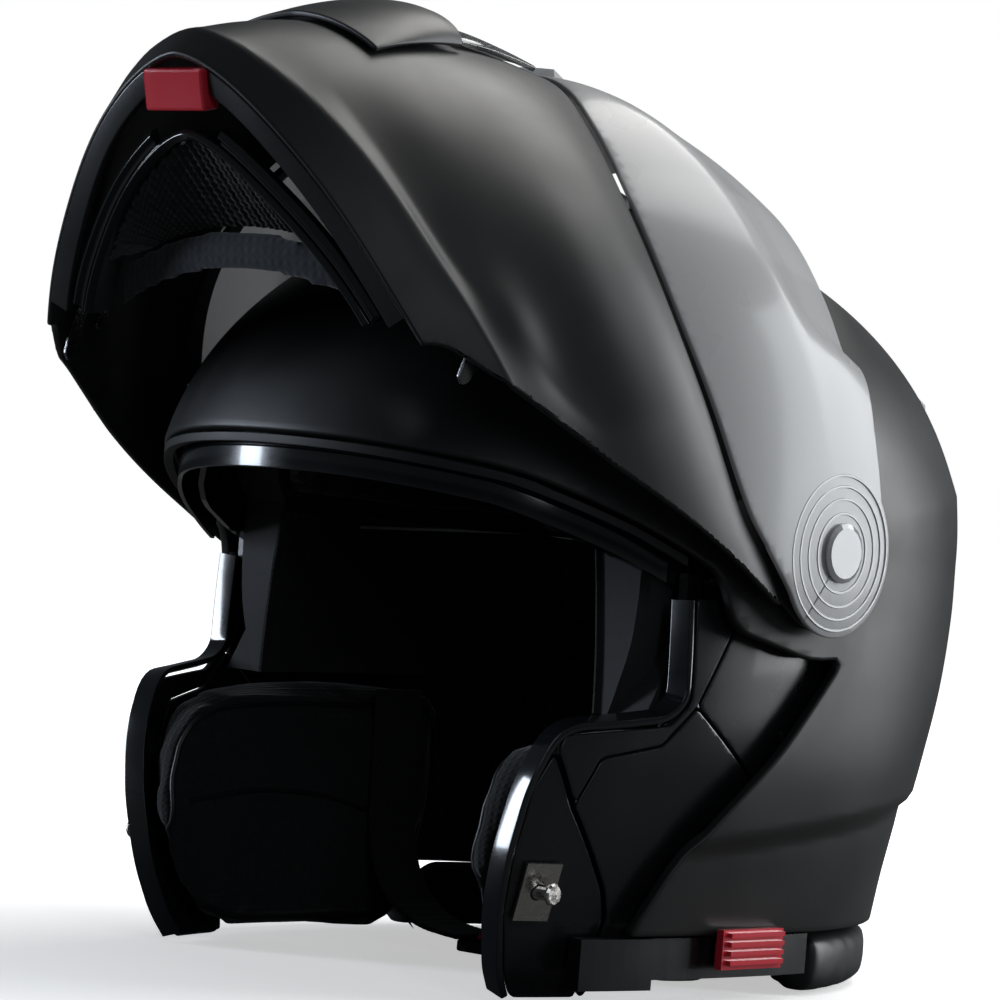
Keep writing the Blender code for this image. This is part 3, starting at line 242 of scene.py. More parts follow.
# angle round from the front, height of the visor edge, height of the lip (mm)
CHIN_EDGE_ROWS = [
    (0, -2, -151), (12, -13, -150), (24, -31, -146), (36, -44, -142), (50, -50, -135),
    (66, -48, -124), (80, -42, -116), (90, -31, -110), (104, -18, -104),
]
# angle above the forward direction, reach from the axis (mm), roundness across
VISOR_ROWS = [
    (-180, 140, 2.40), (-90, 153, 2.40), (-4, 153, 2.35), (5, 146, 2.15), (11, 142, 2.02),
    (20, 137, 1.95), (30, 132.5, 1.92), (42, 130, 1.90), (70, 130, 1.95), (180, 140, 2.40),
]
VISOR_HALF_WIDTH = 123.6 * MM
COVER_INSET = 8.0 * MM
UP = Vector((0, 0, 1))


def smooth_row(rows, t):
    """A Catmull-Rom value through rows of (t, value, value, ...)."""
    t = min(max(t, rows[0][0]), rows[-1][0])
    i = 0
    while i < len(rows) - 2 and t > rows[i + 1][0]:
        i += 1
    before, start, end = rows[max(i - 1, 0)], rows[i], rows[i + 1]
    after = rows[min(i + 2, len(rows) - 1)]
    span = end[0] - start[0]
    u = (t - start[0]) / span
    values = []
    for k in range(1, len(start)):
        lead = (end[k] - before[k]) / (end[0] - before[0]) * span
        tail = (after[k] - start[k]) / (after[0] - start[0]) * span
        values.append((2 * u**3 - 3 * u**2 + 1) * start[k] + (u**3 - 2 * u**2 + u) * lead
                      + (-2 * u**3 + 3 * u**2) * end[k] + (u**3 - u**2) * tail)
    return values


def signed_power(value, power):
    """A power that keeps the sign of its base."""
    return math.copysign(abs(value) ** power, value)


def step(low, high, value):
    """0 below low, 1 above high, smooth between."""
    t = min(max((value - low) / (high - low), 0.0), 1.0)
    return t * t * (3 - 2 * t)


def shell_section(z):
    """Half width, reach forward and reach back of the shell at a height."""
    if z >= 0:
        scale = math.sqrt(max(1 - (z / DOME_HEIGHT) ** 2, 0))
        return DOME_HALF_WIDTH * scale, DOME_FRONT * scale, DOME_REAR * scale
    return [value * MM for value in smooth_row(SHELL_ROWS, z / MM)]


def shell_relief(y, z):
    """Outward offset of the crest and the creases pressed into the shell's sides and back."""
    y, z = y / MM, z / MM
    low = z - (-95 + (y + 37) * 0.108)
    fade = step(-60, -20, y)
    blend = step(-2.5, 2.5, low)
    swell_above = 1.5 * math.exp(-max(low, 0) / 26) * blend
    hollow_below = 1.9 * math.exp(min(low, 0) / 17) * (1 - blend)
    lower = fade * (swell_above - hollow_below)
    crest = z - (10 + (y - 10) * 0.11)
    upper = step(5, 60, y) * 1.3 * math.exp(-abs(crest) / 9)
    return (lower + upper) * MM


def shell_ring(z, inset, count, relief=True):
    """Points round the shell at a height, from the front over the wearer's left."""
    width, front, rear = shell_section(z)
    share = width / DOME_HALF_WIDTH if z > 0 else 1.0
    ring = []
    for i in range(count):
        turn = 2 * math.pi * i / count
        length = front if math.cos(turn) > 0 else rear
        x = (width - inset * share) * signed_power(math.sin(turn), 2 / PLAN_POWER)
        y = -(length - inset * share) * signed_power(math.cos(turn), 2 / PLAN_POWER)
        point = Vector((x, SHELL_CENTRE_Y + y, z))
        if relief:
            outward = Vector((x, y, 0)).normalized()
            point += outward * shell_relief(point.y, z) * min(share * 1.6 - 0.6, 1.0)
        ring.append(point)
    return ring


def shell_side_x(y, z, inset):
    """How far out the shell's left side is, seen from the side at (y, z)."""
    width, front, rear = shell_section(z)
    length = front if y < SHELL_CENTRE_Y else rear
    share = min(abs(y - SHELL_CENTRE_Y) / (length - inset), 1.0)
    return (width - inset) * (1 - share**PLAN_POWER) ** (1 / PLAN_POWER)


def surface_point(y, z, inset):
    return Vector((shell_side_x(y, z, inset), y, z))


def surface_normal(y, z, inset):
    reach = 0.5 * MM
    slope_y = (shell_side_x(y + reach, z, inset) - shell_side_x(y - reach, z, inset)) / (2 * reach)
    slope_z = (shell_side_x(y, z + reach, inset) - shell_side_x(y, z - reach, inset)) / (2 * reach)
    return Vector((1, -slope_y, -slope_z)).normalized()


def groove(angle, share):
    """Depth (m) of the hollow that fans back along each side of the chin bar."""
    run = (abs(angle) - 14) / 50
    if run <= 0 or run >= 1:
        return 0.0
    middle = 0.83 - 0.06 * run - 0.24 * run**3
    spread = 0.08 + 0.12 * run
    drop = (share - middle) / spread
    drop *= 0.75 if drop < 0 else 2.0
    latch = math.exp(-((abs(angle) - 46) / 9) ** 2 - ((share - 0.71) / 0.12) ** 2)
    return 4.8 * MM * (1 - 0.92 * latch) * math.sin(math.pi * run) ** 0.8 * math.exp(-abs(drop) ** 1.7)


def lip_turn(angle, share):
    """Inward offset (m) where the chin bar's lower edge turns under, with a crease above it."""
    start = 0.935 - 0.095 * step(0, 40, abs(angle))
    if share <= start:
        return -1.2 * MM * math.exp(-(start - share) / 0.05)
    run = (share - start) / (1 - start)
    return (-1.2 + 6.0 * run) * MM


def chin_point(angle, share, inset=0.0, relief=True):
    """A point of the closed chin bar: degrees round from the front, share of the way down."""
    half_width, reach, power = smooth_row(CHIN_ROWS, share)
    half_width = half_width * MM - inset
    reach = reach * MM - inset
    top, bottom = [value * MM for value in smooth_row(CHIN_EDGE_ROWS, abs(angle))]
    turn = math.radians(angle)
    pull = (abs(math.sin(turn)) / half_width) ** power + (abs(math.cos(turn)) / reach) ** power
    radius = pull ** (-1 / power)
    if relief:
        radius -= groove(angle, share) + lip_turn(angle, share)
    return Vector((radius * math.sin(turn), -radius * math.cos(turn), top + (bottom - top) * share))


def visor_point(x, turn):
    """A point of the closed visor: distance across, degrees up from the forward direction."""
    reach, power = smooth_row(VISOR_ROWS, turn)
    flat = step(105, 119, abs(x) / MM)
    power += (2.4 - power) * flat
    share = min(abs(x) / VISOR_HALF_WIDTH, 1.0)
    radius = reach * MM * (1 - share**power) ** (1 / power)
    tilt = math.radians(turn)
    return Vector((x, -radius * math.cos(tilt), radius * math.sin(tilt)))


# ---------------------------------------------------------------- mesh helpers
def sheet(rows, closed=False, crown=None):
    """An open surface through rows of points; closed joins each row's ends."""
    bm = bmesh.new()
    verts = [[bm.verts.new(point) for point in row] for row in rows]
    for low, high in zip(verts, verts[1:]):
        count = len(low)
        for i in range(count if closed else count - 1):
            j = (i + 1) % count
            bm.faces.new((low[i], low[j], high[j], high[i]))
    if crown is not None:
        top = bm.verts.new(crown)
        last = verts[-1]
        for i in range(len(last)):
            bm.faces.new((last[i], last[(i + 1) % len(last)], top))
    return bm


def rounded(outline, radius, closed=True):
    """An outline with its corners drawn as curves that start a radius away from them."""
    points = [Vector(p) for p in outline]
    count = len(points)
    smooth = []
    for i, corner in enumerate(points):
        if not closed and i in (0, count - 1):
            smooth.append(corner)
            continue
        before, after = points[i - 1], points[(i + 1) % count]
        reach = min(radius, (before - corner).length * 0.48, (after - corner).length * 0.48)
        first = corner + (before - corner).normalized() * reach
        last = corner + (after - corner).normalized() * reach
        for k in range(6):
            u = k / 5
            smooth.append(first * (1 - u) ** 2 + corner * (2 * u * (1 - u)) + last * u**2)
    return smooth


def inside(outline, radius=0.01, shrink=0.0):
    """Distance (m) inside a side-view outline given in mm; negative outside."""
    points = np.array([tuple(p) for p in rounded(outline, radius)]) * MM
    nexts = np.roll(points, -1, axis=0)
    run = nexts - points
    square = np.maximum((run * run).sum(axis=1), 1e-18)

    def distance(co):
        offset = np.array((co.y, co.z)) - points
        share = np.clip((offset * run).sum(axis=1) / square, 0, 1)
        gap = offset - run * share[:, None]
        nearest = math.sqrt((gap * gap).sum(axis=1).min())
        above = (points[:, 1] > co.z) != (nexts[:, 1] > co.z)
        rise = np.where(above, run[:, 1], 1.0)
        crossing = points[:, 0] + run[:, 0] * (co.z - points[:, 1]) / rise
        hits = int((above & (co.y < crossing)).sum())
        return (nearest if hits % 2 else -nearest) - shrink * MM

    return distance


def trim(bm, keep):
    """Cut a surface along the zero line of keep(point) and drop its negative side."""
    value = {vert: keep(vert.co) for vert in bm.verts}
    for edge in bm.edges:
        a, b = edge.verts
        if value[a] * value[b] < 0:
            share = value[a] / (value[a] - value[b])
            if share < 0.3:
                a.co = a.co.lerp(b.co, share)
                value[a] = 0.0
            elif share > 0.7:
                b.co = b.co.lerp(a.co, 1 - share)
                value[b] = 0.0
    for edge in list(bm.edges):
        a, b = edge.verts
        if value[a] * value[b] < 0:
            _, vert = bmesh.utils.edge_split(edge, a, value[a] / (value[a] - value[b]))
            value[vert] = 0.0
    for face in list(bm.faces):
        ring = list(face.verts)
        signs = [value[vert] for vert in ring]
        if min(signs) < 0 < max(signs):
            ends = []
            for i, vert in enumerate(ring):
                if signs[i] == 0 and signs[i - 1] != 0:
                    j = i
                    while signs[j % len(ring)] == 0:
                        j += 1
                    if signs[i - 1] * signs[j % len(ring)] < 0:
                        ends.append(vert)
            if len(ends) == 2 and not any(ends[1] in edge.verts for edge in ends[0].link_edges):
                bmesh.utils.face_split(face, ends[0], ends[1])
    gone = [face for face in bm.faces if min(value[vert] for vert in face.verts) < 0]
    bmesh.ops.delete(bm, geom=gone, context="FACES")
    return bm


def face_out(bm, middle=Vector((0, 0, -0.05))):
    """Turn an open surface so that its faces look away from the middle."""
    bm.normal_update()
    vote = sum(face.calc_area() * face.normal.dot(face.calc_center_median() - middle) for face in bm.faces)
    if vote < 0:
        bmesh.ops.reverse_faces(bm, faces=bm.faces)
        bm.normal_update()


def close_up(bm):
    """Make a closed body's faces look outward."""
    bmesh.ops.recalc_face_normals(bm, faces=bm.faces)
    if bm.calc_volume(signed=True) < 0:
        bmesh.ops.reverse_faces(bm, faces=bm.faces)


def settle(bm, name, finish, place, body, stands_for=(), wall=0.0, bevel=0.0, sharp=42, even=True):
    """Finish a mesh as a piece: wall, rounded edges, shading, body and the node it stands for."""
    bm.transform(place)
    mesh = bpy.data.meshes.new(name)
    bm.to_mesh(mesh)
    bm.free()
    mesh.materials.append(FINISHES[finish])
    piece = bpy.data.objects.new(name, mesh)
    bpy.context.scene.collection.objects.link(piece)
    if wall:
        solid = piece.modifiers.new("wall", "SOLIDIFY")
        solid.thickness = wall
        solid.offset = -1
        solid.use_even_offset = even
    if bevel:
        edges = piece.modifiers.new("edges", "BEVEL")
        edges.width = bevel
        edges.segments = 3
        edges.limit_method = "ANGLE"
        edges.angle_limit = math.radians(55)
        edges.use_clamp_overlap = False
    if piece.modifiers:
        bake(piece)
    piece.data.shade_smooth()
    piece.data.set_sharp_from_angle(angle=math.radians(sharp))
    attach(piece, body)
    if stands_for:
        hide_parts(*stands_for)
    return piece


def bake(piece):
    """Apply a piece's modifiers."""
    depsgraph = bpy.context.evaluated_depsgraph_get()
    piece.data = bpy.data.meshes.new_from_object(piece.evaluated_get(depsgraph))
    piece.modifiers.clear()


def both_sides(bm, name, finish, place, body, stands_for, **options):
    """The left-hand piece and its mirror image."""
    other = bm.copy()
    bmesh.ops.scale(other, vec=(-1, 1, 1), verts=other.verts)
    bmesh.ops.reverse_faces(other, faces=other.faces)
    for side, mesh in (("left", bm), ("right", other)):
        names = tuple(node + "_" + side for node in stands_for)
        settle(mesh, name + "_" + side, finish, place, body, names, **options)


def sweep(path, section, radius=0.45):
    """A bar: a section of (across, up) offsets in mm carried along frames of (point, across, up)."""
    corners = rounded(section, radius)
    rows = [[point + across * c.x * MM + up * c.y * MM for c in corners] for point, across, up in path]
    bm = sheet(rows, closed=True)
    bm.verts.ensure_lookup_table()
    count = len(corners)
    bm.faces.new(bm.verts[:count])
    bm.faces.new(list(reversed(bm.verts[-count:])))
    close_up(bm)
    return bm


def slab(outline, x_low, x_high, radius):
    """A flat plate: a side-view outline in mm between two places across, in mm."""
    bm = bmesh.new()
    verts = [bm.verts.new((x_low * MM, p.x * MM, p.y * MM)) for p in rounded(outline, radius)]
    grown = bmesh.ops.extrude_face_region(bm, geom=[bm.faces.new(verts)])
    moved = [item for item in grown["geom"] if isinstance(item, bmesh.types.BMVert)]
    bmesh.ops.translate(bm, verts=moved, vec=((x_high - x_low) * MM, 0, 0))
    close_up(bm)
    return bm


# ---------------------------------------------------------------- outer shell
# side views in mm, forward to back and up
BROW_LINE = [(-137, 25), (-105, 18), (-72, 5), (-41, -9)]
FRONT_OUTLINE = [
    (-230, 26), *BROW_LINE, (-36, -26), (0, -35), (17, -34), (12, -40), (-11, -65), (-30, -83), (-46, -101),
    (-56, -122), (-60, -160), (-230, -160),
]


def make_shell():
    below, above, around = 52, 56, 220
    levels = [SHELL_BOTTOM * (1 - i / below) for i in range(below)]
    levels += [DOME_HEIGHT * math.sin(0.5 * math.pi * i / above) for i in range(above)]
    rows = [shell_ring(z, 0.0, around) for z in levels]
    bm = sheet(rows, closed=True, crown=Vector((0, SHELL_CENTRE_Y, DOME_HEIGHT)))
    opening = inside(FRONT_OUTLINE, 7.0)
    trim(bm, lambda co: -opening(co))
    face_out(bm)
    settle(bm, "shell_skin", "matt", FIXED, "shell", ("outer_shell",), wall=4 * MM, bevel=1.1 * MM)


make_shell()


# ---------------------------------------------------------------- chin bar and visor
CHIN_REAR_EDGE = [(12, -27), (-9, -50), (-43, -89), (-70, -116), (-77, -124), (-88, -134)]
CHIN_LAST_ANGLE = 104.0
ARM_OUTLINE = [(-24, -47), (-25, -34), (-18, 4), (-8, 24), (14, 22), (26, 4), (22, -14), (9, -26), (-8, -47)]
VISOR_TOP_EDGE = [(-106, 70), (-102, 60), (-94, 50), (-80, 40), (-60, 31.5), (-34, 26.5), (-12, 24.5)]
VISOR_DISC_RADIUS = 27.0
VISOR_SEAM_ANGLES = (50, 58, 66, 73, 80, 86)
VISOR_RING_RADII = (12.5, 17.0, 21.0, 24.5)


def make_chin_bar():
    down, around = 110, 220
    shares = [i / down for i in range(down + 1)]
    angles = [CHIN_LAST_ANGLE * (2 * i / around - 1) for i in range(around + 1)]
    bm = sheet([[chin_point(angle, share) for angle in angles] for share in shares])
    rear = inside(CHIN_REAR_EDGE + [(-90, -200), (90, -200), (90, 40), (12, 40)], 4.0)
    trim(bm, lambda co: -rear(co))
    face_out(bm)
    settle(bm, "chin_bar_skin", "matt", RAISED, "chin_bar", ("chin_bar_shell",),
           wall=2.5 * MM, bevel=0.9 * MM)
    arm = slab(ARM_OUTLINE, 115.2, 117.2, 5.0)
    both_sides(arm, "chin_bar_arm", "matt", RAISED, "chin_bar", (), bevel=0.4 * MM)


def visor_outline():
    """The visor seen from the side: its top edge, its seam with the chin bar and its disc."""
    disc = []
    for i in range(25):
        turn = math.radians(286 + 184 * i / 24)
        disc.append((VISOR_DISC_RADIUS * math.cos(turn), VISOR_DISC_RADIUS * math.sin(turn)))
    lower = [(-175, -50)]
    for angle in VISOR_SEAM_ANGLES:
        point = chin_point(angle, 0.0, relief=False)
        lower.append((point.y / MM, point.z / MM + 1.0))
    return list(reversed(VISOR_TOP_EDGE)) + [(-175, 84)] + lower + disc


def make_visor():
    body = inside(visor_outline(), 5.0)

    def keep(co):
        angle = math.degrees(math.atan2(abs(co.x), -co.y))
        if angle > VISOR_SEAM_ANGLES[-1]:
            return body(co)
        seat = co.z - smooth_row(CHIN_EDGE_ROWS, angle)[0] * MM - 1.3 * MM
        return min(body(co), seat)

    across = [VISOR_HALF_WIDTH * math.sin(math.radians(i)) for i in range(-89, 90)]
    turns = [-130 + 1.25 * i for i in range(289)]
    bm = sheet([[visor_point(x, turn) for turn in turns] for x in across])
    for sign in (1, -1):
        rim = [vert for vert in bm.verts if abs(vert.co.x - sign * across[-1]) < 1e-6]
        hub = bm.verts.new((sign * across[-1], 0, 0))
        rim.sort(key=lambda vert: math.atan2(vert.co.z, vert.co.y))
        for a, b in zip(rim, rim[1:] + rim[:1]):
            bm.faces.new((a, b, hub) if sign > 0 else (b, a, hub))
    bmesh.ops.remove_doubles(bm, verts=bm.verts, dist=0.02 * MM)
    bmesh.ops.recalc_face_normals(bm, faces=bm.faces)
    trim(bm, keep)
    face_out(bm)
    settle(bm, "visor_skin", "clear", RAISED, "visor", ("visor",), wall=2 * MM, bevel=0.6 * MM)


def make_visor_rings():
    """The raised rings on the visor's discs, which sink a little where the disc curves in."""
    # mm out from the ring's middle line, and distance from the helmet's middle
    section = [(-0.55, 122.0), (-0.55, 123.5), (-0.3, 123.9), (0.3, 123.9), (0.55, 123.5), (0.55, 122.0)]
    turns = [math.radians(3 * k) for k in range(120)]
    for number, radius in enumerate(VISOR_RING_RADII):
        sink = 0.0013 * radius**2
        rows = []
        for offset, out in section:
            r = radius + offset
            rows.append([Vector((out - sink, r * math.cos(t), r * math.sin(t))) * MM for t in turns])
        rows.append(rows[0])
        circle = sheet(rows, closed=True)
        bmesh.ops.remove_doubles(circle, verts=circle.verts, dist=0.001 * MM)
        close_up(circle)
        both_sides(circle, f"visor_ring_{number}", "hub", RAISED, "visor", ())


make_chin_bar()
make_visor()
make_visor_rings()


# ---------------------------------------------------------------- side covers and trims
# depth below the shell's surface and side view, in mm
COVER_PANELS = {
    "upper": (7.4, [
        (-44, -17), (-44, -50), (-52, -57), (-89, -61), (-91, -66), (-83, -83), (-76, -68), (-54, -63.5),
        (-41, -51), (-24, -20), (-22, -17)]),
    "striker": (8.4, [
        (-91, -66), (-97, -78), (-99, -98), (-97, -118), (-91, -135), (-84, -144.5), (-60, -144.5),
        (-60, -118), (-64, -109), (-83, -83)]),
    "main": (7.6, [
        (-83, -83), (-76, -68), (-54, -63.5), (-41, -51), (-12, -74), (-16, -78), (-34, -98), (-46, -118),
        (-58, -144.5), (-60, -144.5), (-60, -118), (-64, -109)]),
    "rear": (7.4, [
        (-41, -51), (-24, -20), (-22, -17), (0, -17), (24, -24), (20, -42), (-2, -64), (-12, -74)]),
}
PORT_EDGE = [
    (-44, -18), (-44, -32), (-44, -50), (-52, -57), (-72, -59.5), (-89, -61), (-97, -78), (-99, -98),
    (-97, -118), (-91, -135), (-86, -142),
]


def make_covers():
    pitch = 1.3
    ys = [-101 + pitch * i for i in range(98)]
    zs = [-146 + pitch * i for i in range(101)]
    for name, (inset, outline) in COVER_PANELS.items():
        rows = [[surface_point(y * MM, z * MM, inset * MM) for y in ys] for z in zs]
        bm = sheet(rows)
        trim(bm, inside(outline, 1.6, shrink=0.4))
        face_out(bm)
        nodes = ("side_cover",) if name == "main" else ()
        both_sides(bm, "cover_" + name, "satin", FIXED, "shell", nodes, wall=2.6 * MM, bevel=0.5 * MM)


def edge_path(outline, inset):
    """Frames along a side-view outline: point, outward from the shell, away from the outline."""
    path = []
    for i, (y, z) in enumerate(outline):
        y0, z0 = outline[max(i - 1, 0)]
        y1, z1 = outline[min(i + 1, len(outline) - 1)]
        point = surface_point(y * MM, z * MM, inset)
        normal = surface_normal(y * MM, z * MM, inset)
        ahead = surface_point(y1 * MM, z1 * MM, inset) - surface_point(y0 * MM, z0 * MM, inset)
        path.append((point, normal, normal.cross(ahead.normalized()).normalized()))
    return path


def make_port_trims():
    section = [(-6.0, -3.0), (-0.3, -0.8), (0.8, -0.7), (1.6, -1.3), (1.6, -3.2), (-6.0, -4.8)]
    smooth = [tuple(p) for p in rounded(PORT_EDGE, 7.0, closed=False)]
    bm = sweep(edge_path(smooth, COVER_INSET), section)
    both_sides(bm, "port_edge", "gloss", FIXED, "shell", ("port_trim",))


make_covers()
make_port_trims()


# ---------------------------------------------------------------- brow
def brow_height(y):
    """Height of the brow line at a distance forward."""
    line = list(reversed(BROW_LINE))
    y = y / MM
    for (y0, z0), (y1, z1) in zip(line, line[1:]):
        if y1 <= y <= y0:
            return (z0 + (z1 - z0) * (y - y0) / (y1 - y0)) * MM
    return line[0][1] * MM if y > line[0][0] else line[-1][1] * MM


def brow_path(inset, reach, count=120):
    """Frames along the brow line; the height is found by going round it a few times."""
    path = []
    for i in range(count + 1):
        turn = math.radians(-reach + 2 * reach * i / count)
        z = 20 * MM
        for _ in range(6):
            width, front = shell_section(max(z, 0.0))[:2]
            x = (width - inset) * signed_power(math.sin(turn), 2 / PLAN_POWER)
            y = SHELL_CENTRE_Y - (front - inset) * signed_power(math.cos(turn), 2 / PLAN_POWER)
            z = brow_height(y)
        inward = Vector((-x, SHELL_CENTRE_Y - y, 0)).normalized()
        path.append((Vector((x, y, z)), inward, UP))
    return path


def make_brow():
    seal = [(-0.4, -4.2), (2.8, -4.2), (2.8, -1.4), (1.6, -1.4), (1.2, -2.2), (0.8, -1.4), (-0.4, -1.4)]
    settle(sweep(brow_path(0.8 * MM, 66), seal, 0.3), "brow_gasket", "rubber", FIXED, "shell", ("brow_seal",))
    rim = [(0.4, -11), (2.0, -11), (2.4, 0.8), (1.0, 0.8), (0.8, -4.2), (0.4, -4.4)]
    settle(sweep(brow_path(5.2 * MM, 64), rim, 0.4), "brow_band", "gloss", FIXED, "shell", ("brow_rim",))


make_brow()


# ---------------------------------------------------------------- chin bar fittings
def lip_path(inset, reach, count, share=1.0):
    """Frames along the inside of the chin bar, at its lip or at a share of the way down."""
    path = []
    for i in range(count + 1):
        point = chin_point(-reach + 2 * reach * i / count, share, inset * MM, relief=False)
        inward = Vector((-point.x, -point.y - 60 * MM, 0)).normalized()
        path.append((point, inward, UP))
    return path


def frame_path(extra, count=144):
    """Frames along the chin bar's inner frame, which stands further in at its middle."""
    moved = []
    for i, (point, inward, up) in enumerate(lip_path(15.4 + extra, 34, count)):
        push = 7.5 * math.sin(math.pi * i / count) ** 2
        moved.append((point + inward * push * MM, inward, up))
    return moved


def curtain_line(share, setback):
    """A point along the chin curtain's front edge, from the wearer's right to left."""
    t = 2 * share - 1
    return Vector((58 * t, -106.5 + 14.0 * t * t - setback, -134 + 6 * t * t)) * MM


def make_chin_fittings():
    lip = [(0, 0.2), (7.4, 0.6), (8.0, 2.6), (0, 3.2)]
    left = [spot for spot in lip_path(5.8, 38, 240) if spot[0].x > 13.6 * MM]
    both_sides(sweep(left, lip, 0.5), "lip_edge", "satin", RAISED, "chin_bar", ("chin_lip_trim",))
    arch = [(5.2, 2.4), (6.8, 0.9), (8.6, 2.6), (8.8, 12), (6.6, 12), (6.4, 5), (5.2, 5)]
    settle(sweep(frame_path(0.0), arch, 0.5), "inner_arch", "gloss", RAISED, "chin_bar",
           ("chin_inner_frame",))
    rail = [(0, 2.4), (2.0, 0.8), (3.6, 2.4), (4.9, 2.4), (4.9, 5), (0, 5)]
    beside = [spot for spot in frame_path(0.0) if spot[0].x > 14.6 * MM]
    both_sides(sweep(beside, rail, 0.5), "inner_rail", "gloss", RAISED, "chin_bar", ())
    seal = [(0, -6), (2.2, -6), (2.2, 0.6), (1.2, 2.0), (0, 0.6)]
    settle(sweep(lip_path(5.4, 64, 160, 0.0), seal, 0.3), "visor_gasket", "rubber", RAISED, "chin_bar",
           ("visor_seal",))


# ---------------------------------------------------------------- latch hooks and chin vent
STRIKER = (-89, -110)
STRIKER_OUT = (-0.629, -0.777)
HOOK_X = 87.7
HOOK_LEAN = 0.22
# mm from the striker pin: along the way the pin leaves, and outward from the pivot
HOOK_OUTLINE = [
    (-2.2, -2.4), (0.0, -2.9), (5.0, -2.9), (5.6, -5.0), (2.0, -7.4), (-4.0, -7.6), (-8.0, -5.0), (-8.6, 0.0),
    (-7.0, 4.0), (-3.0, 7.6), (10.0, 9.0), (21.0, 7.6), (22.5, 5.0), (20.5, 3.4), (10.0, 3.2), (0.0, 2.9),
    (-2.2, 2.4), (-3.0, 0.0),
]


def make_hooks():
    y, z = STRIKER_OUT
    outline = []
    for along, out in HOOK_OUTLINE:
        outline.append((STRIKER[0] - z * along + y * out, STRIKER[1] + y * along + z * out))
    bm = slab(outline, HOOK_X, HOOK_X + 1.2, 0.8)
    for vert in bm.verts:
        vert.co.x += HOOK_LEAN * (vert.co.z - STRIKER[1] * MM)
    both_sides(bm, "hook", "dark_steel", RAISED, "latch_hooks", ("latch_hook",), bevel=0.2 * MM)


def crown_patch(reach, low, high, heights, wall):
    """A shell raised over the chin bar's middle; heights in mm from its upper to its lower edge."""
    gap = 0.6
    rows = []
    for i in range(41):
        run = i / 40
        height = smooth_row(heights, run)[0]
        row = []
        for k in range(49):
            side = k / 24 - 1
            lift = wall + gap + (height - wall - gap) * max(1 - side**4, 0) ** 0.5
            row.append(chin_point(reach * side, low + (high - low) * run, -lift * MM, relief=False))
        rows.append(row)
    bm = sheet(rows)
    face_out(bm)
    return bm


def make_vent():
    """The scoop and the smoked lens on the chin bar's crown."""
    heights = [(0, 9.0), (0.13, 9.6), (0.33, 8.8), (0.57, 6.8), (0.8, 4.6), (1, 2.9)]
    settle(crown_patch(12, 0.34, 0.64, heights, 2.0), "vent_scoop", "matt", RAISED, "chin_vent_cover",
           ("chin_vent_cover",), wall=2.0 * MM, bevel=0.6 * MM)
    heights = [(0, 2.9), (0.22, 3.6), (0.48, 4.2), (0.74, 4.6), (1, 4.6)]
    settle(crown_patch(10.5, 0.05, 0.32, heights, 1.8), "vent_lens", "smoke", RAISED, "chin_bar",
           ("chin_vent_lens",), wall=1.8 * MM, bevel=0.4 * MM)


make_chin_fittings()
make_hooks()
make_vent()


# ---------------------------------------------------------------- padding and fabric
CLOTH_PRESSURE = 4.0
CLOTH_FRAMES = 20


def swell(piece, cap):
    """Blow a padded piece up with cloth pressure, moving no point further than the cap."""
    cloth = piece.modifiers.new("cloth", "CLOTH")
    cloth.settings.use_pressure = True
    cloth.settings.uniform_pressure_force = CLOTH_PRESSURE
    cloth.settings.effector_weights.gravity = 0.0
    for number in range(1, CLOTH_FRAMES + 1):
        bpy.context.scene.frame_set(number)
    depsgraph = bpy.context.evaluated_depsgraph_get()
    moved = [vert.co.copy() for vert in piece.evaluated_get(depsgraph).data.vertices]
    piece.modifiers.remove(cloth)
    for vert, place in zip(piece.data.vertices, moved):
        change = place - vert.co
        if change.length > cap:
            change *= cap / change.length
        vert.co += change
    bpy.context.scene.frame_set(1)


def padded(node, name, finish, body, voxel, shrink, cap, smooth):
    """A sewn, foam-filled piece grown from the plain solid that holds its place; sizes in mm."""
    mesh = frame["nodes"][node].data.copy()
    mesh.materials.clear()
    mesh.materials.append(FINISHES[finish])
    piece = bpy.data.objects.new(name, mesh)
    bpy.context.scene.collection.objects.link(piece)
    remesh = piece.modifiers.new("remesh", "REMESH")
    remesh.mode = "VOXEL"
    remesh.voxel_size = voxel * MM
    soften = piece.modifiers.new("soften", "SMOOTH")
    soften.factor = 0.5
    soften.iterations = smooth
    bake(piece)
    for vert in piece.data.vertices:
        vert.co -= vert.normal * shrink * MM
    swell(piece, cap * MM)
    finer = piece.modifiers.new("finer", "SUBSURF")
    finer.levels = 1
    finer.render_levels = 1
    bake(piece)
    piece.data.shade_smooth()
    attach(piece, body)
    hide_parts(node)
    return piece


def mirrored_piece(piece, name, node):
    """The right-hand twin of a left-hand pad."""
    bm = bmesh.new()
    bm.from_mesh(piece.data)
    bmesh.ops.scale(bm, vec=(-1, 1, 1), verts=bm.verts)
    bmesh.ops.reverse_faces(bm, faces=bm.faces)
    mesh = bpy.data.meshes.new(name)
    bm.to_mesh(mesh)
    bm.free()
    mesh.materials.append(piece.data.materials[0])
    mesh.shade_smooth()
    twin = bpy.data.objects.new(name, mesh)
    bpy.context.scene.collection.objects.link(twin)
    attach(twin, "shell")
    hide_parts(node)


def cord(points, name, radius, cyclic=True):
    """A thin round cord through points in metres, used for piping and seams on the shell's padding."""
    data = bpy.data.curves.new(name, "CURVE")
    data.dimensions = "3D"
    data.bevel_depth = radius * MM
    data.bevel_resolution = 3
    data.use_fill_caps = not cyclic
    spline = data.splines.new("POLY")
    spline.points.add(len(points) - 1)
    spline.use_cyclic_u = cyclic
    for target, point in zip(spline.points, points):
        target.co = (*point, 1)
    data.materials.append(FINISHES["piping"])
    piece = bpy.data.objects.new(name, data)
    bpy.context.scene.collection.objects.link(piece)
    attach(piece, "shell")


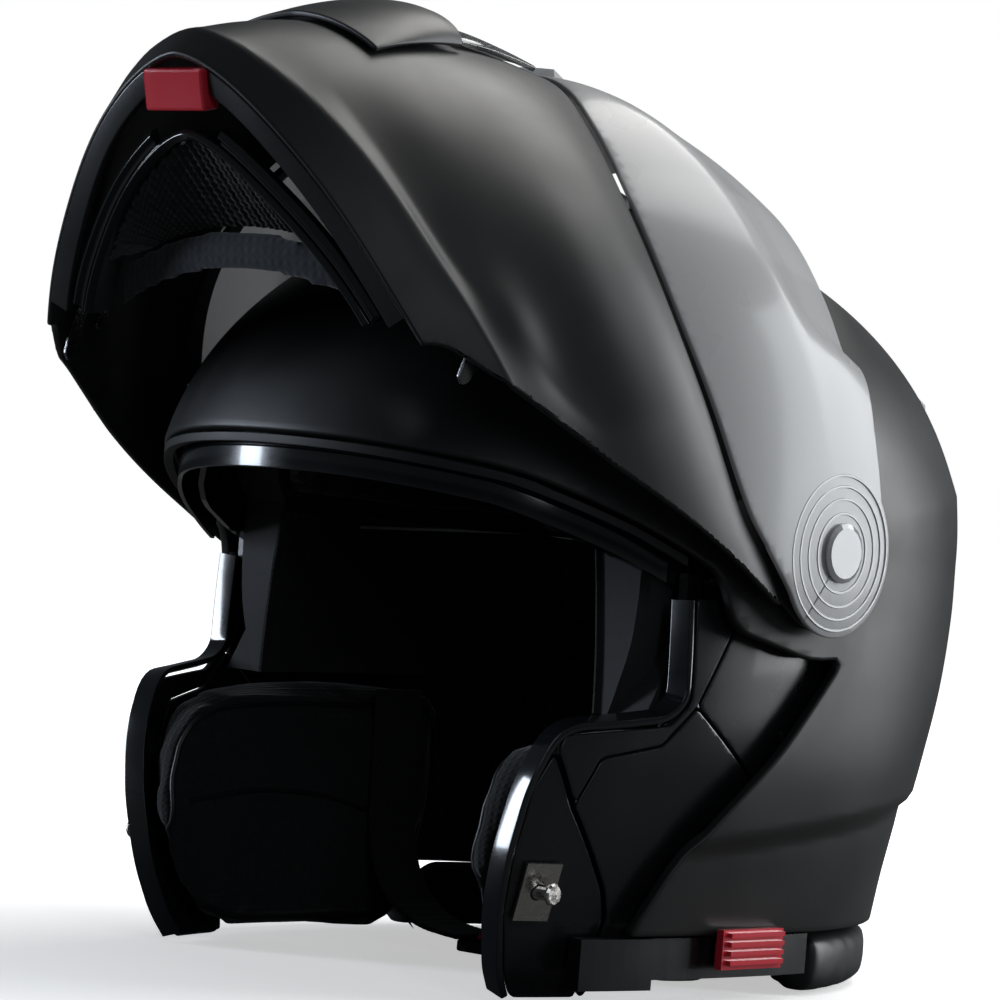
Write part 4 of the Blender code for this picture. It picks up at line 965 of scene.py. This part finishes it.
def landings(piece, rays):
    """Where rays of (start, direction) first meet a piece's surface."""
    tree = BVHTree.FromPolygons([vert.co for vert in piece.data.vertices],
                                [face.vertices for face in piece.data.polygons])
    hits = [tree.ray_cast(start, direction.normalized())[0] for start, direction in rays]
    return [hit for hit in hits if hit is not None]


def cheek_seam(pad, outline, name, cyclic):
    """Piping along a side-view line on the left cheek pad, and its mirror image on the right one."""
    rays = [(FIXED @ Vector((0.0, p.x * MM, p.y * MM)), Vector((1, 0, 0))) for p in outline]
    points = landings(pad, rays)
    for side, sign in (("left", 1), ("right", -1)):
        cord([Vector((p.x * sign, p.y, p.z)) for p in points], f"{name}_{side}", 0.9, cyclic)


CHEEK_SEAM = [
    (-50, -66), (-74, -67), (-90, -72), (-96, -84), (-98, -100), (-95, -116), (-86, -130), (-66, -137),
    (8, -137), (24, -126), (28, -92), (26, -66),
]
CHEEK_FOLD = [(-92, -98), (-60, -94), (-28, -96), (4, -104), (24, -112)]
CROWN_PIPING_HEIGHTS = (0.55, 1.3)


def make_cheek_pads():
    left = padded("cheek_pad_left", "cheek_cushion_left", "cloth", "shell", 4.0, 2.4, 3.2, 8)
    mirrored_piece(left, "cheek_cushion_right", "cheek_pad_right")
    cheek_seam(left, rounded(CHEEK_SEAM, 10.0), "cheek_piping", True)
    cheek_seam(left, rounded(CHEEK_FOLD, 12.0, closed=False), "cheek_seam", False)


def make_crown_pad():
    crown = padded("crown_pad", "crown_cushion", "cloth", "shell", 4.0, 1.6, 3.0, 4)
    middle = FIXED @ Vector((0, SHELL_CENTRE_Y, -10 * MM))
    turns = [math.radians(3 * i) for i in range(120)]
    for number, height in enumerate(CROWN_PIPING_HEIGHTS):
        rays = [(middle, Vector((math.sin(turn) * 0.9, -math.cos(turn), height))) for turn in turns]
        cord(landings(crown, rays), f"crown_piping_{number}", 0.8)


# how far inside the shell's surface the linings lie
LINING_INSET = 34.8 * MM


def make_lining():
    """The fabric that covers the foam behind the wearer's head."""
    rows = [shell_ring((-56 + 1.2 * i) * MM, LINING_INSET, 200, relief=False) for i in range(46)]
    bm = sheet(rows, closed=True)
    open_front = inside([(-300, 40), (-54.5, 40), (-54.5, -60), (-300, -60)], 1.0)
    trim(bm, lambda co: -open_front(co))
    face_out(bm, Vector((0, SHELL_CENTRE_Y, -0.03)))
    settle(bm, "head_lining", "cloth", FIXED, "shell", wall=0.8 * MM)


def make_neck_lining():
    """The fabric that runs down the back of the foam and out to the neck roll."""
    skirt = []
    for i in range(21):
        run = i / 20
        skirt.append(shell_ring((-119.9 - 12.5 * run) * MM, (36.0 - 20.2 * run**0.7) * MM, 200, relief=False))
    back = [shell_ring((-57 - 1.14 * i) * MM, LINING_INSET, 200, relief=False) for i in range(56)]
    for name, rows, front in (("neck_skirt", skirt, 33.5 * MM), ("neck_lining", back, 40.5 * MM)):
        bm = sheet(rows, closed=True)
        trim(bm, lambda co: co.y - front)
        face_out(bm, Vector((0, SHELL_CENTRE_Y, -0.09)))
        settle(bm, name, "cloth", FIXED, "shell", wall=0.8 * MM)


def make_chin_net():
    """The ribbed net between the chin bar's inner rail and the curtain."""
    rows = []
    for number, spot in enumerate(frame_path(9.4, 300)):
        point = spot[0]
        if abs(point.x) > 47 * MM:
            continue
        inner = curtain_line((point.x / MM + 58) / 116, 13.5) + UP * 6.6 * MM
        outer = point + UP * 5.6 * MM
        row = []
        for k in range(49):
            place = outer.lerp(inner, k / 48)
            ripple = 0.45 * math.sin(number * 1.25) + 0.35 * math.sin(k * 1.6 + number * 0.6)
            row.append(place + UP * ripple * MM)
        rows.append(row)
    bm = sheet(rows)
    face_out(bm, Vector((0, -0.13, -0.1)))
    settle(bm, "chin_net", "net", RAISED, "chin_bar", ("chin_mesh",), wall=0.8 * MM, sharp=80, even=False)


STRAP_WIDTH = 22
STRAP_FRONT = -7
RIB_HEIGHT = 0.054
# front view in mm: across and up
STRAP_DROP = [(62.4, -60), (62.0, -85), (61.0, -108), (56.0, -124), (46.0, -134)]


def ribbon(path, name, node):
    """A length of ribbed webbing along a front-view path."""
    smooth = [tuple(p) for p in rounded(path, 9.0, closed=False)]
    fine = []
    for (x0, z0), (x1, z1) in zip(smooth, smooth[1:]):
        for k in range(4):
            fine.append((x0 + (x1 - x0) * k / 4, z0 + (z1 - z0) * k / 4))
    fine.append(smooth[-1])
    rows = []
    for number, (x, z) in enumerate(fine):
        lift = RIB_HEIGHT * math.sin(number * 2.0)
        rows.append([Vector((x, STRAP_FRONT + k, z + lift)) * MM for k in range(STRAP_WIDTH + 1)])
    bm = sheet(rows)
    face_out(bm, Vector((0, 0, 0)))
    settle(bm, name, "webbing", FIXED, "shell", (node,),
           wall=1.5 * MM, bevel=0.35 * MM, sharp=60, even=False)


def make_straps():
    right = [(-x, z) for x, z in STRAP_DROP] + [(-34, -138.5), (-17.5, -140)]
    ribbon(right, "webbing_right", "strap_right")
    ribbon(STRAP_DROP + [(36.5, -138)], "webbing_left", "strap_left")


def make_brow_grilles():
    """Perforated covers under the brow vents: holes of two by two cells, two cells apart."""
    deep = 25
    path = brow_path(21.5 * MM, 40, 320)
    for side, chosen in (("right", path[32:130]), ("left", path[190:288])):
        rows = []
        for point, inward, up in chosen:
            rows.append([point + inward * k * 0.4 * MM + up * 1.9 * MM for k in range(deep + 1)])
        bm = sheet(rows)
        holes = []
        for number, face in enumerate(bm.faces):
            i, k = divmod(number, deep)
            if i % 4 in (1, 2) and k % 4 in (1, 2) and 2 < i < len(chosen) - 4 and 1 < k < deep - 2:
                holes.append(face)
        bmesh.ops.delete(bm, geom=holes, context="FACES")
        face_out(bm, Vector((0, 0, 0.3)))
        settle(bm, "brow_grille_" + side, "satin", FIXED, "shell", ("brow_vent_mesh_" + side,), wall=1.0 * MM)


make_cheek_pads()
make_crown_pad()
padded("neck_roll", "neck_cushion", "vinyl", "shell", 3.5, 0.8, 2.0, 3)
padded("chin_curtain", "curtain_band", "slate", "chin_bar", 2.2, 0.3, 1.6, 3)
make_lining()
make_neck_lining()
make_chin_net()
make_straps()
make_brow_grilles()


# ---------------------------------------------------------------- camera, light and floor
CAMERA_AZIMUTH = 41.0
CAMERA_ELEVATION = 5.6
CAMERA_PITCH = 7.0
CAMERA_DISTANCE = 1.384
CAMERA_LENS = 158.4
CAMERA_AIM = Vector((0.0407, -0.0685, 0.0166))


def pitched(v):
    """Turn a direction or place by the camera's extra downward pitch about X."""
    c = math.cos(math.radians(CAMERA_PITCH))
    s = math.sin(math.radians(CAMERA_PITCH))
    return Vector((v.x, v.y * c - v.z * s, v.y * s + v.z * c))


def make_camera():
    turn = math.radians(CAMERA_AZIMUTH)
    rise = math.radians(CAMERA_ELEVATION)
    back = Vector((math.sin(turn) * math.cos(rise), -math.cos(turn) * math.cos(rise), math.sin(rise)))
    right = Vector((math.cos(turn), math.sin(turn), 0))
    up = back.cross(right)
    place = pitched(CAMERA_AIM + back * CAMERA_DISTANCE) + PIVOT
    axes = Matrix([pitched(right), pitched(up), pitched(back)]).transposed().to_4x4()
    data = bpy.data.cameras.new("camera")
    data.lens = CAMERA_LENS
    data.sensor_width = 36.0
    camera = bpy.data.objects.new("camera", data)
    camera.matrix_world = Matrix.Translation(place) @ axes
    bpy.context.scene.collection.objects.link(camera)
    bpy.context.scene.camera = camera


LAMP_TARGET = Vector((0, 0, 0.17))
# name, place, width, height, watts, colour
LAMPS = [
    ("rear_right_box", (1.25, 1.85, 0.65), 1.3, 1.6, 40, (0.95, 0.98, 1.0)),
    ("top_box", (0.1, 1.0, 1.75), 1.6, 1.1, 26, (1.0, 0.99, 0.97)),
    ("left_strip", (-1.5, -1.15, 0.25), 0.35, 1.2, 26, (0.78, 0.87, 1.0)),
    ("right_strip", (1.7, -1.0, 0.9), 0.25, 1.2, 3, (0.86, 0.92, 1.0)),
]


def area_light(name, place, width, height, watts, colour):
    data = bpy.data.lights.new(name, "AREA")
    data.shape = "RECTANGLE"
    data.size = width
    data.size_y = height
    data.energy = watts
    data.color = colour
    lamp = bpy.data.objects.new(name, data)
    lamp.location = place
    lamp.rotation_euler = (LAMP_TARGET - Vector(place)).to_track_quat("-Z", "Y").to_euler()
    bpy.context.scene.collection.objects.link(lamp)


def for_camera(tree, seen, unseen):
    """Mix two shader sockets: what the camera sees, and what all other rays meet."""
    path = tree.nodes.new("ShaderNodeLightPath")
    mix = tree.nodes.new("ShaderNodeMixShader")
    tree.links.new(path.outputs["Is Camera Ray"], mix.inputs[0])
    tree.links.new(unseen, mix.inputs[1])
    tree.links.new(seen, mix.inputs[2])
    return mix.outputs[0]


def make_floor():
    """A pale floor that turns to white away from the helmet and throws little light back up.

    It glows from 0.5 to 1 between 10 and 75 cm from the helmet's middle.
    """
    bpy.ops.mesh.primitive_plane_add(size=40, location=(0, 0, -0.0005))
    floor = bpy.context.active_object
    floor.name = "floor"
    pale = Finish("pale_floor")
    tree = pale.material.node_tree
    distance = pale.node("VectorMath", {0: pale.coordinates}, operation="LENGTH").outputs["Value"]
    glow = pale.node("MapRange", {"Value": distance, 1: 0.10, 2: 0.75, 3: 0.50, 4: 1.0}).outputs[0]
    pale.set(Base_Color=(0.86, 0.86, 0.86, 1), Roughness=0.95, Emission_Color=(1, 1, 1, 1))
    pale.to(glow, "Emission Strength")
    dull = pale.node("BsdfDiffuse", {"Color": (0.10, 0.10, 0.10, 1)})
    surface = for_camera(tree, pale.shader.outputs[0], dull.outputs[0])
    tree.links.new(surface, tree.nodes["Material Output"].inputs[0])
    floor.data.materials.append(pale.material)


def make_world():
    """White to the camera, and a faint cool light to everything else."""
    world = bpy.data.worlds.new("studio")
    bpy.context.scene.world = world
    world.use_nodes = True
    tree = world.node_tree
    seen = tree.nodes.new("ShaderNodeBackground")
    seen.inputs[0].default_value = (1, 1, 1, 1)
    lit = tree.nodes["Background"]
    lit.inputs[0].default_value = (0.80, 0.90, 1.0, 1)
    lit.inputs[1].default_value = 0.055
    surface = for_camera(tree, seen.outputs[0], lit.outputs[0])
    tree.links.new(surface, tree.nodes["World Output"].inputs[0])


make_camera()
make_floor()
make_world()
for lamp_values in LAMPS:
    area_light(*lamp_values)
bpy.context.scene.view_settings.view_transform = "Standard"
